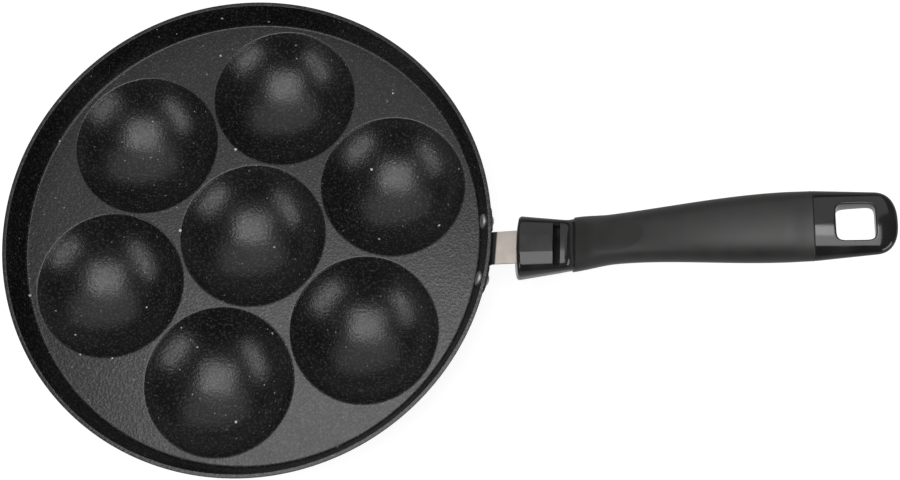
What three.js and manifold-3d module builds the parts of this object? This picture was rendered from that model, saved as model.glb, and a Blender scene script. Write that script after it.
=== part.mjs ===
// Pancake pan: a cast pan with seven round wells and a riveted, rising handle.
// Millimetres, +Z up. The origin is on the pan's axis, on the plane that the wells rest on.
// +X runs through the middle of the handle's bracket.

import * as THREE from 'three';
import { mergeVertices } from 'three/addons/utils/BufferGeometryUtils.js';
import { ParametricGeometry } from 'three/addons/geometries/ParametricGeometry.js';
import Module from 'manifold-3d';

const wasm = await Module();
wasm.setup();

// Wells
const WELL_RADIUS = 39.5;        // where a well's sphere meets the plate
const WELL_DEPTH = 19;
const WELL_WALL = 2.6;
const WELL_EDGE_ROUND = 1.2;
const WELL_SPACE = 2.1;          // plate left between neighbouring wells
const RING_WELLS = 6;            // six wells stand round the middle one
const RING_TURN = 24.9;          // degrees from the bracket to the first well of the ring
const BASE_DISC_RADIUS = 20;     // turned flat disc under each well
const BASE_DISC_CHAMFER = 0.8;
const BASE_THICKNESS = 3.6;      // metal under the deepest point of a well

// Plate, wall and rim
const PLATE_BORDER = 3.6;        // plate left between the ring of wells and the wall
const PLATE_THICKNESS = 3.2;
const WALL_HEIGHT = 17;          // rim above the plate
const WALL_FLARE = 3.8;          // how far the wall leans out over its height
const WALL_THICKNESS = 1.8;
const FOOT_ROUND = 2.5;          // inner corner of plate and wall
const HEEL_ROUND = 4;            // outer corner under the wall
const LIP_HEIGHT = 2;
const LIP_OVERHANG = 0.6;        // how far the lip stands out past the wall
const LIP_ROUND = 0.8;

// Handle bracket and rivets
const SHEET_THICKNESS = 1.6;
const FLANGE_END = 7.25;         // from a rivet's axis to the flange's end
const FLANGE_HEIGHT = 9;
const FLANGE_CORNER = 3.6;
const BEND_RADIUS = 4;           // middle of the sheet, where the flange bends over into the tang
const BEND_RELIEF = 1.2;         // notch in the flange on either side of the bend
const TANG_WIDTH = 17.5;
const TANG_REACH = 17.5;         // from the collar's front into the handle
const TANG_CORNER = 3;
const RIVET_SPREAD = 31.5;       // between the two rivets
const RIVET_DROP = 8.6;          // rivets and middle of the flange below the rim
const RIVET_SHANK_RADIUS = 2.4;
const RIVET_HEAD_RADIUS = 4;
const RIVET_HEAD_HEIGHT = 1.9;

// Handle, measured along its spine from the collar's front
const HANDLE_SKEW = 3;           // degrees that the handle is turned aside at the rim
const COLLAR_STANDOFF = 14.2;    // from the rim out to the collar's front
const COLLAR_RISE = -1.8;        // spine above the rim at the collar's front
const COLLAR_LENGTH = 22;
const COLLAR_NOTCH_LENGTH = 3.5; // slot across the collar's top, in front of the neck
const COLLAR_NOTCH_WIDTH = 23;
const NECK_LENGTH = 8.6;
const GRIP_LENGTH = 118.8;
const TAIL_LENGTH = 36;
const WAIST_REACH = 23;          // narrowest place, from the grip's front
const BELLY_REACH = 105.8;       // widest place, from the grip's front
const COLLAR_SLOPE = 20;         // degrees
const NECK_SLOPE = 40.5;
const TAIL_SLOPE = 16.4;
const SLOPE_EASE = 2.5;          // how soon the grip bends over towards the tail's slope
const TAIL_ROUND = 10;           // length of the rounded end
const TAIL_SQUARE = 2.6;         // 2 would make the end's outline an ellipse

// Half sizes of the handle's sections: across, above and below the spine, and squareness
const COLLAR_FRONT = { across: 16.6, above: 11.4, below: 12.7, square: 3.3 };
const COLLAR_REAR = { across: 13.9, above: 6.4, below: 11.5, square: 3.3 };
const NECK_REAR = { across: 13.5, above: 6.6, below: 11.4, square: 2.6 };
const GRIP_FRONT = { across: 14.1, above: 7.4, below: 12.2, square: 2.5 };
const WAIST = { across: 12.7, above: 8, below: 9, square: 2.3 };
const BELLY = { across: 16.8, above: 8.6, below: 9.6, square: 2.3 };
const TAIL_FRONT = { across: 16.7, above: 7.2, below: 8, square: 2.2 };
const TAIL_REAR = { across: 13.9, above: 3.8, below: 3.8, square: 2.4 };

// Inside the handle
const COLLAR_WALL = 1.8;
const SLEEVE_THICKNESS = 2.2;
const COLLAR_CHAMFER = 1.2;
const SEAM_CHAMFER = 0.4;
const TANG_LIFT = 3;             // tang above the spine in the collar
const HANG_HOLE = 17;            // side of the rounded square hole
const HANG_HOLE_CORNER = 3.5;
const HANG_HOLE_END = 9.6;       // between the hole and the tail's end
const THUMB_START = 8.8;         // thumb rest, from the grip's front
const THUMB_LENGTH = 34;
const THUMB_WIDTH = 17;
const THUMB_DEPTH = 1.1;

// Screw that holds the handle on the tang
const SCREW_REACH = 12;          // from the collar's front
const SCREW_RADIUS = 2.5;
const SCREW_HEAD_RADIUS = 4.2;
const SCREW_HEAD_HEIGHT = 3;
const SCREW_HEAD_ROUND = 1;
const WASHER_RADIUS = 4.7;
const WASHER_THICKNESS = 1;
const SEAT_DEPTH = 3.6;          // how deep the washer's seat is sunk in the core

const FIT = 0.3;                 // clearance between fitted pieces

// Facets
const RIM_SEGMENTS = 72;
const WELL_SEGMENTS = 32;
const WELL_RINGS = 5;
const BOWL_RINGS = 2;
const ROUND_STEPS = 2;
const SMALL_SEGMENTS = 20;
const SECTION_SIDES = 24;
const GRIP_STATIONS = 12;
const CORE_STATIONS = 8;
const SHORT_STATIONS = 3;        // along the collar, the neck and the tail
const END_STATIONS = 5;
const END_TURN = 85;             // degrees round the tail's end at its last station
const SPINE_STEP = 0.5;
const WELD_TOLERANCE = 1e-4;
const CUT_MARGIN = 2;            // how far a cutting solid runs past the piece it cuts

// Levels and radii that follow from the sizes above
const PLATE_Z = BASE_THICKNESS + WELL_DEPTH;
const RIM_Z = PLATE_Z + WALL_HEIGHT;
const WELL_PITCH = 2 * WELL_RADIUS + WELL_SPACE;
const FOOT_RADIUS = WELL_PITCH + WELL_RADIUS + PLATE_BORDER;
const FLANGE_WIDTH = RIVET_SPREAD + 2 * FLANGE_END;
const RIM_RADIUS = FOOT_RADIUS + WALL_FLARE + WALL_THICKNESS + LIP_OVERHANG;
const WALL_LEAN = Math.atan(WALL_FLARE / WALL_HEIGHT);
const WELL_SPHERE = (WELL_RADIUS ** 2 + WELL_DEPTH ** 2) / (2 * WELL_DEPTH);
const WELL_CENTRE_Z = BASE_THICKNESS + WELL_SPHERE;
const GRIP_START = COLLAR_LENGTH + NECK_LENGTH;
const TAIL_START = GRIP_START + GRIP_LENGTH;
const HANDLE_LENGTH = TAIL_START + TAIL_LENGTH;

const radians = THREE.MathUtils.degToRad;
const point = (x, y) => new THREE.Vector2(x, y);

// Closed solids and cuts

function solid(geometry) {
  const bare = geometry.clone();
  bare.deleteAttribute('normal');
  bare.deleteAttribute('uv');
  const welded = mergeVertices(bare, WELD_TOLERANCE);
  const positions = welded.attributes.position;
  const corners = [...welded.index.array];
  const triangles = [];
  let volume = 0;
  for (let i = 0; i < corners.length; i += 3) {
    const [a, b, c] = corners.slice(i, i + 3);
    if (a === b || b === c || c === a) continue;
    triangles.push([a, b, c]);
    const [p, q, r] = [a, b, c].map((k) => new THREE.Vector3().fromBufferAttribute(positions, k));
    volume += p.dot(q.cross(r));
  }
  const facingOut = volume > 0 ? triangles : triangles.map(([a, b, c]) => [a, c, b]);
  return new wasm.Manifold(new wasm.Mesh({
    numProp: 3,
    vertProperties: new Float32Array(positions.array),
    triVerts: new Uint32Array(facingOut.flat()),
  }));
}

function piece(name, shape, material) {
  const mesh = shape.getMesh();
  const geometry = new THREE.BufferGeometry();
  geometry.setAttribute('position', new THREE.BufferAttribute(new Float32Array(mesh.vertProperties), 3));
  geometry.setIndex(new THREE.BufferAttribute(new Uint32Array(mesh.triVerts), 1));
  geometry.computeVertexNormals();
  const result = new THREE.Mesh(geometry, material);
  result.name = name;
  return result;
}

// A profile of (radius, height) points turned about the Z axis.
function turned(profile, segments) {
  return new THREE.LatheGeometry(profile, segments).rotateX(Math.PI / 2);
}

// Points on an arc from one angle to another, in degrees, both ends included.
function arc(centre, radius, from, to, steps) {
  const points = [];
  for (let i = 0; i <= steps; i++) {
    const angle = radians(from + (to - from) * i / steps);
    points.push(point(centre.x + radius * Math.cos(angle), centre.y + radius * Math.sin(angle)));
  }
  return points;
}

function roundedRectangle(width, height, corner) {
  const [x, y] = [width / 2, height / 2];
  const shape = new THREE.Shape();
  shape.moveTo(x, -y + corner);
  shape.absarc(x - corner, y - corner, corner, 0, Math.PI / 2);
  shape.absarc(-x + corner, y - corner, corner, Math.PI / 2, Math.PI);
  shape.absarc(-x + corner, -y + corner, corner, Math.PI, 1.5 * Math.PI);
  shape.absarc(x - corner, -y + corner, corner, 1.5 * Math.PI, 2 * Math.PI);
  return shape;
}

// A flat shape made into a plate, centred on its own plane.
function plate(shape, thickness) {
  const options = { depth: thickness, bevelEnabled: false, curveSegments: SMALL_SEGMENTS / 4 };
  return new THREE.ExtrudeGeometry(shape, options).translate(0, 0, -thickness / 2);
}

// Pan body

const wallInnerAt = (z) => FOOT_RADIUS + WALL_FLARE * (z - PLATE_Z) / WALL_HEIGHT;
const wallOuterAt = (z) => wallInnerAt(z) + WALL_THICKNESS;
const lipOuterAt = (z) => wallOuterAt(z) + LIP_OVERHANG;

function dish() {
  const lean = THREE.MathUtils.radToDeg(WALL_LEAN);
  const bottom = PLATE_Z - PLATE_THICKNESS;
  // each round touches a level and the leaning wall, so its centre stands this far in from the wall line
  const heelShift = HEEL_ROUND / Math.cos(WALL_LEAN);
  const heel = point(wallOuterAt(bottom + HEEL_ROUND) - heelShift, bottom + HEEL_ROUND);
  const lipShift = LIP_ROUND / Math.cos(WALL_LEAN);
  const lipOuter = point(lipOuterAt(RIM_Z - LIP_ROUND) - lipShift, RIM_Z - LIP_ROUND);
  const lipInner = point(wallInnerAt(RIM_Z - LIP_ROUND) + lipShift, RIM_Z - LIP_ROUND);
  const lipBottom = RIM_Z - LIP_HEIGHT;
  const footShift = FOOT_ROUND / Math.cos(WALL_LEAN);
  const foot = point(wallInnerAt(PLATE_Z + FOOT_ROUND) - footShift, PLATE_Z + FOOT_ROUND);
  return turned([
    point(0, bottom),
    ...arc(heel, HEEL_ROUND, -90, -lean, ROUND_STEPS + 1),
    point(wallOuterAt(lipBottom), lipBottom),
    point(lipOuterAt(lipBottom + LIP_OVERHANG), lipBottom + LIP_OVERHANG),
    ...arc(lipOuter, LIP_ROUND, -lean, 90, ROUND_STEPS),
    ...arc(lipInner, LIP_ROUND, 90, 180 - lean, ROUND_STEPS),
    ...arc(foot, FOOT_ROUND, -lean, -90, ROUND_STEPS),
    point(0, PLATE_Z),
  ], RIM_SEGMENTS);
}

// Space inside a well: a spherical bowl whose edge rounds over into the plate.
function wellSpace() {
  const rise = WELL_SPHERE - WELL_DEPTH + WELL_EDGE_ROUND;
  const reach = WELL_SPHERE + WELL_EDGE_ROUND;
  const edge = point(Math.sqrt(reach ** 2 - rise ** 2), PLATE_Z - WELL_EDGE_ROUND);
  const edgeAngle = THREE.MathUtils.radToDeg(Math.asin(rise / reach));
  const bowl = arc(point(0, WELL_CENTRE_Z), WELL_SPHERE, -90, -edgeAngle, WELL_RINGS);
  return turned([
    ...bowl,
    ...arc(edge, WELL_EDGE_ROUND, 180 - edgeAngle, 90, ROUND_STEPS).slice(1),
    point(edge.x, PLATE_Z + CUT_MARGIN),
    point(0, PLATE_Z + CUT_MARGIN),
  ], WELL_SEGMENTS);
}

// Metal round a well: an outer bowl that stands on a flat disc.
function wellBowl() {
  const outer = WELL_SPHERE + WELL_WALL;
  const top = PLATE_Z - PLATE_THICKNESS / 2;
  const from = -THREE.MathUtils.radToDeg(Math.acos(BASE_DISC_RADIUS / outer));
  const to = -THREE.MathUtils.radToDeg(Math.asin((WELL_CENTRE_Z - top) / outer));
  return turned([
    point(0, 0),
    point(BASE_DISC_RADIUS - BASE_DISC_CHAMFER, 0),
    point(BASE_DISC_RADIUS, BASE_DISC_CHAMFER),
    ...arc(point(0, WELL_CENTRE_Z), outer, from, to, BOWL_RINGS),
    point(0, top),
  ], WELL_SEGMENTS);
}

function wellCentres() {
  const centres = [[0, 0]];
  for (let i = 0; i < RING_WELLS; i++) {
    const angle = radians(RING_TURN + 360 * i / RING_WELLS);
    centres.push([WELL_PITCH * Math.cos(angle), WELL_PITCH * Math.sin(angle)]);
  }
  return centres;
}

function panBody() {
  let body = solid(dish());
  const bowl = solid(wellBowl());
  const space = solid(wellSpace());
  for (const [x, y] of wellCentres()) body = body.add(bowl.translate([x, y, 0]));
  for (const [x, y] of wellCentres()) body = body.subtract(space.translate([x, y, 0]));
  for (const side of [1, -1]) body = body.subtract(rivetHole(side));
  return body;
}

// Rivets, square to the leaning wall

const RIVET_Z = RIM_Z - RIVET_DROP;
const WALL_ACROSS = WALL_THICKNESS * Math.cos(WALL_LEAN);
const RIVET_GRIP = WALL_ACROSS + FIT + SHEET_THICKNESS;

// Where a rivet's axis leaves the inner face of the wall, with its own Z axis pointing out of the pan.
function rivetPlace(side) {
  const radius = wallInnerAt(RIVET_Z);
  const turn = side * Math.asin(RIVET_SPREAD / 2 / radius);
  const place = new THREE.Object3D();
  place.position.set(radius * Math.cos(turn), radius * Math.sin(turn), RIVET_Z);
  place.rotation.set(0, Math.PI / 2 + WALL_LEAN, turn, 'ZYX');
  place.updateMatrix();
  return place;
}

function rivetHole(side) {
  const length = RIVET_GRIP + 2 * CUT_MARGIN;
  const hole = new THREE.CylinderGeometry(
    RIVET_SHANK_RADIUS + FIT, RIVET_SHANK_RADIUS + FIT, length, SMALL_SEGMENTS);
  hole.rotateX(Math.PI / 2).translate(0, 0, RIVET_GRIP / 2);
  return solid(hole.applyMatrix4(rivetPlace(side).matrix));
}

// Low domed heads inside and outside, on one shank.
function rivet() {
  const dome = (RIVET_HEAD_RADIUS ** 2 + RIVET_HEAD_HEIGHT ** 2) / (2 * RIVET_HEAD_HEIGHT);
  const rise = THREE.MathUtils.radToDeg(Math.asin(RIVET_HEAD_RADIUS / dome));
  const inner = point(0, -FIT - RIVET_HEAD_HEIGHT + dome);
  const outer = point(0, RIVET_GRIP + FIT + RIVET_HEAD_HEIGHT - dome);
  return solid(turned([
    ...arc(inner, dome, -90, -90 + rise, ROUND_STEPS),
    point(RIVET_SHANK_RADIUS, -FIT),
    point(RIVET_SHANK_RADIUS, RIVET_GRIP + FIT),
    ...arc(outer, dome, 90 - rise, 90, ROUND_STEPS),
  ], SMALL_SEGMENTS));
}

// Spine of the handle: a curve in the XZ plane whose slope is set along its length

function slopeAt(reach) {
  if (reach <= GRIP_START) {
    const bend = THREE.MathUtils.smoothstep(reach, COLLAR_LENGTH, GRIP_START);
    return radians(COLLAR_SLOPE + (NECK_SLOPE - COLLAR_SLOPE) * bend);
  }
  const left = Math.max(0, (HANDLE_LENGTH - reach) / (HANDLE_LENGTH - GRIP_START));
  return radians(TAIL_SLOPE + (NECK_SLOPE - TAIL_SLOPE) * left ** SLOPE_EASE);
}

// Place on the spine: x, z and slope. Before the collar's front and past the tail it runs on straight.
function spineAt(reach) {
  let [x, z, along] = [RIM_RADIUS + COLLAR_STANDOFF, RIM_Z + COLLAR_RISE, 0];
  while (along < reach) {
    const stride = Math.min(SPINE_STEP, reach - along);
    const slope = slopeAt(along + stride / 2);
    x += stride * Math.cos(slope);
    z += stride * Math.sin(slope);
    along += stride;
  }
  const slope = slopeAt(Math.max(reach, 0));
  const behind = Math.min(reach, 0);
  return { x: x + behind * Math.cos(slope), z: z + behind * Math.sin(slope), slope };
}

// Sections of the handle

function blend(from, to, share) {
  const mixed = {};
  for (const key of Object.keys(from)) mixed[key] = THREE.MathUtils.lerp(from[key], to[key], share);
  return mixed;
}

function inset(section, amount) {
  const { across, above, below, square } = section;
  return { across: across - amount, above: above - amount, below: below - amount, square };
}

function collarSection(reach) {
  return blend(COLLAR_FRONT, COLLAR_REAR, reach / COLLAR_LENGTH);
}

// The neck carries on the collar's taper and turns up towards the grip.
function neckSection(reach) {
  const share = (reach - COLLAR_LENGTH) / NECK_LENGTH;
  return blend(collarSection(reach), NECK_REAR, share ** 2);
}

function gripSection(reach) {
  const waist = GRIP_START + WAIST_REACH;
  const belly = GRIP_START + BELLY_REACH;
  const ease = (from, to) => THREE.MathUtils.smoothstep(reach, from, to);
  if (reach < waist) return blend(GRIP_FRONT, WAIST, ease(GRIP_START, waist));
  if (reach < belly) return blend(WAIST, BELLY, ease(waist, belly));
  return blend(BELLY, TAIL_FRONT, ease(belly, TAIL_START));
}

// The tail tapers, and its last stretch rounds off.
function tailSection(reach) {
  const section = blend(TAIL_FRONT, TAIL_REAR, (reach - TAIL_START) / TAIL_LENGTH);
  const past = Math.max(0, reach - (HANDLE_LENGTH - TAIL_ROUND)) / TAIL_ROUND;
  section.across *= (1 - past ** TAIL_SQUARE) ** (1 / TAIL_SQUARE);
  return section;
}

function sectionPoint({ place, section }, turn) {
  const power = (value) => Math.sign(value) * Math.abs(value) ** (2 / section.square);
  const across = section.across * power(Math.cos(turn));
  const side = Math.sin(turn);
  const up = (side > 0 ? section.above : section.below) * power(side);
  const { x, z, lean } = place;
  return new THREE.Vector3(x - up * Math.sin(lean), across, z + up * Math.cos(lean));
}

// Sections stand upright up to the grip's front and lean over to square on the spine by the waist.
function sectionPlace(reach) {
  const { x, z, slope } = spineAt(reach);
  const lean = slope * THREE.MathUtils.smoothstep(reach, GRIP_START, GRIP_START + WAIST_REACH);
  return { x, z, lean };
}

// A solid through sections that stand along the spine, closed flat at both ends.
function loft(stations) {
  const rings = stations.map(([reach, section]) => ({ place: sectionPlace(reach), section }));
  const closing = { across: 0, above: 0, below: 0, square: 2 };
  rings.unshift({ place: rings[0].place, section: closing });
  rings.push({ place: rings.at(-1).place, section: closing });
  const last = rings.length - 1;
  const surface = (u, v, target) => target.copy(sectionPoint(rings[Math.round(v * last)], 2 * Math.PI * u));
  return solid(new ParametricGeometry(surface, SECTION_SIDES, last));
}

// Stations at even steps, both ends included.
function stations(from, to, count, sectionAt) {
  const list = [];
  for (let i = 0; i <= count; i++) {
    const reach = from + (to - from) * i / count;
    list.push([reach, sectionAt(reach)]);
  }
  return list;
}

// Stations with a chamfer at each end.
function chamfered(from, to, count, sectionAt, front, rear) {
  return [
    [from, inset(sectionAt(from), front)],
    ...stations(from + front, to - rear, count, sectionAt),
    [to, inset(sectionAt(to), rear)],
  ];
}

// Puts a shape drawn about the spine at a reach: X along the spine, Y across, Z up from it.
function onSpine(geometry, reach, lift = 0) {
  const { x, z, slope } = spineAt(reach);
  return geometry.translate(0, 0, lift).rotateY(-slope).translate(x, 0, z);
}

// The handle's pieces are drawn over the X axis and then turned aside about the upright line at the rim.
const SKEW = new THREE.Matrix4().makeTranslation(RIM_RADIUS, 0, 0)
  .multiply(new THREE.Matrix4().makeRotationZ(radians(HANDLE_SKEW)))
  .multiply(new THREE.Matrix4().makeTranslation(-RIM_RADIUS, 0, 0));

// Bracket: one strip of sheet, bent over from the flange on the wall into the tang in the handle

// A plate over the tang from a reach on the spine to the tang's end, larger all round by a clearance.
function tangPlate(from, thickness, widen) {
  const length = TANG_REACH + widen - from;
  const shape = roundedRectangle(length, TANG_WIDTH + 2 * widen, TANG_CORNER);
  return solid(onSpine(plate(shape, thickness).translate(from + length / 2, 0, 0), 0, TANG_LIFT));
}

// Room for the tang inside the handle.
function tangSlot() {
  return tangPlate(-COLLAR_STANDOFF, SHEET_THICKNESS + 2 * FIT, FIT);
}

// Where the sheet's middle lines meet, and the bend between them, in the XZ plane.
function bend() {
  const { x, z, slope } = spineAt(0);
  const along = point(Math.cos(slope), Math.sin(slope));
  const up = point(-along.y, along.x);
  const start = point(x, z).addScaledVector(up, TANG_LIFT);
  const rise = point(Math.sin(WALL_LEAN), Math.cos(WALL_LEAN));
  const out = point(rise.y, -rise.x);
  const flangeMiddle = wallOuterAt(start.y) + (FIT + SHEET_THICKNESS / 2) / Math.cos(WALL_LEAN);
  const back = (flangeMiddle - start.x) / (along.x - Math.tan(WALL_LEAN) * along.y);
  const corner = start.clone().addScaledVector(along, back);
  const setback = BEND_RADIUS * Math.tan((Math.PI / 2 - WALL_LEAN - slope) / 2);
  const foot = corner.addScaledVector(rise, -setback);
  const centre = foot.clone().addScaledVector(out, BEND_RADIUS);
  const end = start.clone().addScaledVector(along, TANG_REACH);
  return { foot, centre, end, rise, out, up, from: Math.PI - WALL_LEAN, to: Math.PI / 2 + slope };
}

function bentStrip() {
  const { foot, centre, end, rise, out, up, from, to } = bend();
  const half = SHEET_THICKNESS / 2;
  const root = foot.clone().addScaledVector(rise, -CUT_MARGIN);
  const beside = (place, direction, amount) => place.clone().addScaledVector(direction, amount);
  const [inner, outer] = [beside(root, out, -half), beside(root, out, half)];
  const [top, bottom] = [beside(end, up, half), beside(end, up, -half)];
  const shape = new THREE.Shape();
  shape.moveTo(inner.x, inner.y);
  shape.absarc(centre.x, centre.y, BEND_RADIUS + half, from, to, true);
  shape.lineTo(top.x, top.y);
  shape.lineTo(bottom.x, bottom.y);
  shape.absarc(centre.x, centre.y, BEND_RADIUS - half, to, from, false);
  shape.lineTo(outer.x, outer.y);
  const strip = solid(plate(shape, TANG_WIDTH).rotateX(Math.PI / 2));
  const roundedEnd = tangPlate(-RIM_RADIUS, RIM_RADIUS, 0);
  return strip.intersect(roundedEnd).subtract(screwHole(SCREW_RADIUS + FIT)).transform(SKEW.elements);
}

// A band round the wall between two levels and two distances from its outer face.
function wallBand(low, high, near, far) {
  const corner = (z, away) => point(wallOuterAt(z) + away / Math.cos(WALL_LEAN), z);
  const corners = [corner(low, near), corner(low, far), corner(high, far), corner(high, near)];
  return solid(turned([...corners, corners[0]], RIM_SEGMENTS));
}

function flange() {
  const [low, high] = [RIVET_Z - FLANGE_HEIGHT / 2, RIVET_Z + FLANGE_HEIGHT / 2];
  const band = wallBand(low, high, FIT, FIT + SHEET_THICKNESS);
  const outline = plate(roundedRectangle(FLANGE_HEIGHT, FLANGE_WIDTH, FLANGE_CORNER), RIM_RADIUS);
  outline.rotateY(Math.PI / 2).translate(RIM_RADIUS, 0, RIVET_Z);
  const notch = new THREE.BoxGeometry(RIM_RADIUS, TANG_WIDTH + 2 * BEND_RELIEF, FLANGE_HEIGHT);
  notch.translate(RIM_RADIUS, 0, bend().foot.y + FLANGE_HEIGHT / 2);
  return band.intersect(solid(outline)).subtract(solid(notch));
}

function handleBracket() {
  const wallRoom = wallBand(PLATE_Z, RIM_Z, -WALL_THICKNESS, FIT);
  let bracket = flange().add(bentStrip()).subtract(wallRoom);
  for (const side of [1, -1]) bracket = bracket.subtract(rivetHole(side));
  return bracket;
}

// Screw and washer, upright to the spine under the collar. Heights are measured from the spine.

const CORE_BOTTOM = -(collarSection(SCREW_REACH).below - COLLAR_WALL - FIT);
const SEAT_LEVEL = CORE_BOTTOM + SEAT_DEPTH;
const SCREW_TIP = TANG_LIFT + SHEET_THICKNESS / 2;
const HEAD_TOP = SEAT_LEVEL - FIT - WASHER_THICKNESS - FIT;

function onScrewAxis(profile) {
  return solid(onSpine(turned(profile, SMALL_SEGMENTS), SCREW_REACH));
}

function bar(radius, from, to) {
  return onScrewAxis([point(0, from), point(radius, from), point(radius, to), point(0, to)]);
}

function screwHole(radius) {
  return bar(radius, -COLLAR_FRONT.below - CUT_MARGIN, SCREW_TIP + FIT);
}

function handleScrew() {
  const bottom = HEAD_TOP - SCREW_HEAD_HEIGHT;
  const edge = point(SCREW_HEAD_RADIUS - SCREW_HEAD_ROUND, bottom + SCREW_HEAD_ROUND);
  return onScrewAxis([
    point(0, bottom),
    ...arc(edge, SCREW_HEAD_ROUND, -90, 0, ROUND_STEPS),
    point(SCREW_HEAD_RADIUS, HEAD_TOP),
    point(SCREW_RADIUS, HEAD_TOP),
    point(SCREW_RADIUS, SCREW_TIP),
    point(0, SCREW_TIP),
  ]);
}

function screwWasher() {
  const low = SEAT_LEVEL - FIT - WASHER_THICKNESS;
  const disc = bar(WASHER_RADIUS, low, low + WASHER_THICKNESS);
  return disc.subtract(bar(SCREW_RADIUS + FIT, low - CUT_MARGIN, low + WASHER_THICKNESS + CUT_MARGIN));
}

function screwSeat() {
  return bar(WASHER_RADIUS + FIT, -COLLAR_FRONT.below - CUT_MARGIN, SEAT_LEVEL);
}

// Collar, core and grip

function handleCollar() {
  const sections = chamfered(0, COLLAR_LENGTH, SHORT_STATIONS, collarSection, COLLAR_CHAMFER, SEAM_CHAMFER);
  const shell = loft(sections);
  const hollow = loft([
    [COLLAR_WALL, inset(collarSection(COLLAR_WALL), COLLAR_WALL)],
    [COLLAR_LENGTH + CUT_MARGIN, inset(collarSection(COLLAR_LENGTH + CUT_MARGIN), COLLAR_WALL)],
  ]);
  const length = COLLAR_NOTCH_LENGTH + CUT_MARGIN;
  const notch = new THREE.BoxGeometry(length, COLLAR_NOTCH_WIDTH, COLLAR_REAR.above);
  const { x, z } = spineAt(COLLAR_LENGTH - COLLAR_NOTCH_LENGTH);
  notch.translate(x + length / 2, 0, z + COLLAR_WALL + COLLAR_REAR.above / 2);
  return shell.subtract(hollow).subtract(solid(notch)).subtract(tangSlot()).subtract(screwSeat());
}

function hangHole() {
  const middle = HANDLE_LENGTH - HANG_HOLE_END - HANG_HOLE / 2;
  const depth = TAIL_FRONT.above + TAIL_FRONT.below + CUT_MARGIN;
  return solid(onSpine(plate(roundedRectangle(HANG_HOLE, HANG_HOLE, HANG_HOLE_CORNER), depth), middle));
}

function handleCore() {
  const spigotSection = (reach) => inset(collarSection(reach), COLLAR_WALL + FIT);
  const coreSection = (reach) => inset(gripSection(reach), SLEEVE_THICKNESS);
  const [spigotFront, spigotRear] = [COLLAR_WALL + FIT, COLLAR_LENGTH + CUT_MARGIN];
  const spigot = loft(stations(spigotFront, spigotRear, SHORT_STATIONS, spigotSection));
  const neck = loft(stations(COLLAR_LENGTH + FIT, GRIP_START, SHORT_STATIONS, neckSection));
  const inner = loft(stations(GRIP_START - CUT_MARGIN, TAIL_START + CUT_MARGIN, CORE_STATIONS, coreSection));
  const roundStart = HANDLE_LENGTH - TAIL_ROUND;
  const taper = [
    [TAIL_START, inset(tailSection(TAIL_START), SEAM_CHAMFER)],
    ...stations(TAIL_START + SEAM_CHAMFER, roundStart, SHORT_STATIONS, tailSection),
  ];
  // the rounded end takes its stations at even turns of a quarter circle
  const end = [];
  for (let i = 1; i <= END_STATIONS; i++) {
    const reach = roundStart + TAIL_ROUND * Math.sin(radians(END_TURN * i / END_STATIONS));
    end.push([reach, tailSection(reach)]);
  }
  const whole = spigot.add(neck).add(inner).add(loft([...taper, ...end]));
  return whole.subtract(tangSlot()).subtract(hangHole())
    .subtract(screwHole(SCREW_RADIUS + FIT)).subtract(screwSeat());
}

// An ellipsoid that leaves an oval hollow on top of the grip.
function thumbRest() {
  const middle = GRIP_START + THUMB_START + THUMB_LENGTH / 2;
  const ball = new THREE.SphereGeometry(1, SMALL_SEGMENTS, SMALL_SEGMENTS / 2);
  const sink = gripSection(middle).above;
  ball.rotateX(Math.PI / 2).scale(THUMB_LENGTH / 2, THUMB_WIDTH / 2, THUMB_DEPTH);
  return solid(onSpine(ball, middle, sink));
}

function gripSleeve() {
  const [from, to] = [GRIP_START + FIT, TAIL_START - FIT];
  const outer = loft(chamfered(from, to, GRIP_STATIONS, gripSection, SEAM_CHAMFER, SEAM_CHAMFER));
  const boreSection = (reach) => inset(gripSection(reach), SLEEVE_THICKNESS - FIT);
  const bore = loft(stations(GRIP_START - CUT_MARGIN, TAIL_START + CUT_MARGIN, CORE_STATIONS, boreSection));
  return outer.subtract(bore).subtract(thumbRest());
}

// Materials

function finish(color, roughness, metalness) {
  return new THREE.MeshStandardMaterial({ color, roughness, metalness });
}

const coat = finish('#232324', 0.45, 0.1);
const steel = finish('#bcb3a8', 0.35, 1);
const aluminium = finish('#c9cacb', 0.3, 1);
const glossBlack = finish('#151516', 0.15, 0);
const softBlack = finish('#222223', 0.7, 0);
const zinc = finish('#a9abad', 0.35, 1);

// Assembly

const pan = new THREE.Group();
pan.add(piece('pan_body', panBody(), coat));
pan.add(piece('handle_bracket', handleBracket(), steel));
for (const [name, side] of [['rivet_left', 1], ['rivet_right', -1]]) {
  const holder = new THREE.Group();
  holder.copy(rivetPlace(side));
  holder.add(piece(name, rivet(), aluminium));
  pan.add(holder);
}

const handle = new THREE.Group();
handle.applyMatrix4(SKEW);
handle.add(piece('handle_collar', handleCollar(), glossBlack));
handle.add(piece('handle_core', handleCore(), glossBlack));
handle.add(piece('grip_sleeve', gripSleeve(), softBlack));
handle.add(piece('handle_screw', handleScrew(), zinc));
handle.add(piece('screw_washer', screwWasher(), zinc));
pan.add(handle);

export default pan;
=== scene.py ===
"""Looks of a seven-well pancake pan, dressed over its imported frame.

Shapes are drawn in millimetres in the frame's own axes, and each finished mesh is scaled to metres.
"""

import logging
import math
from collections.abc import Callable
from dataclasses import dataclass
from enum import Enum
from functools import cached_property

import bmesh
import bpy
from mathutils import Euler, Matrix, Vector


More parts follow.
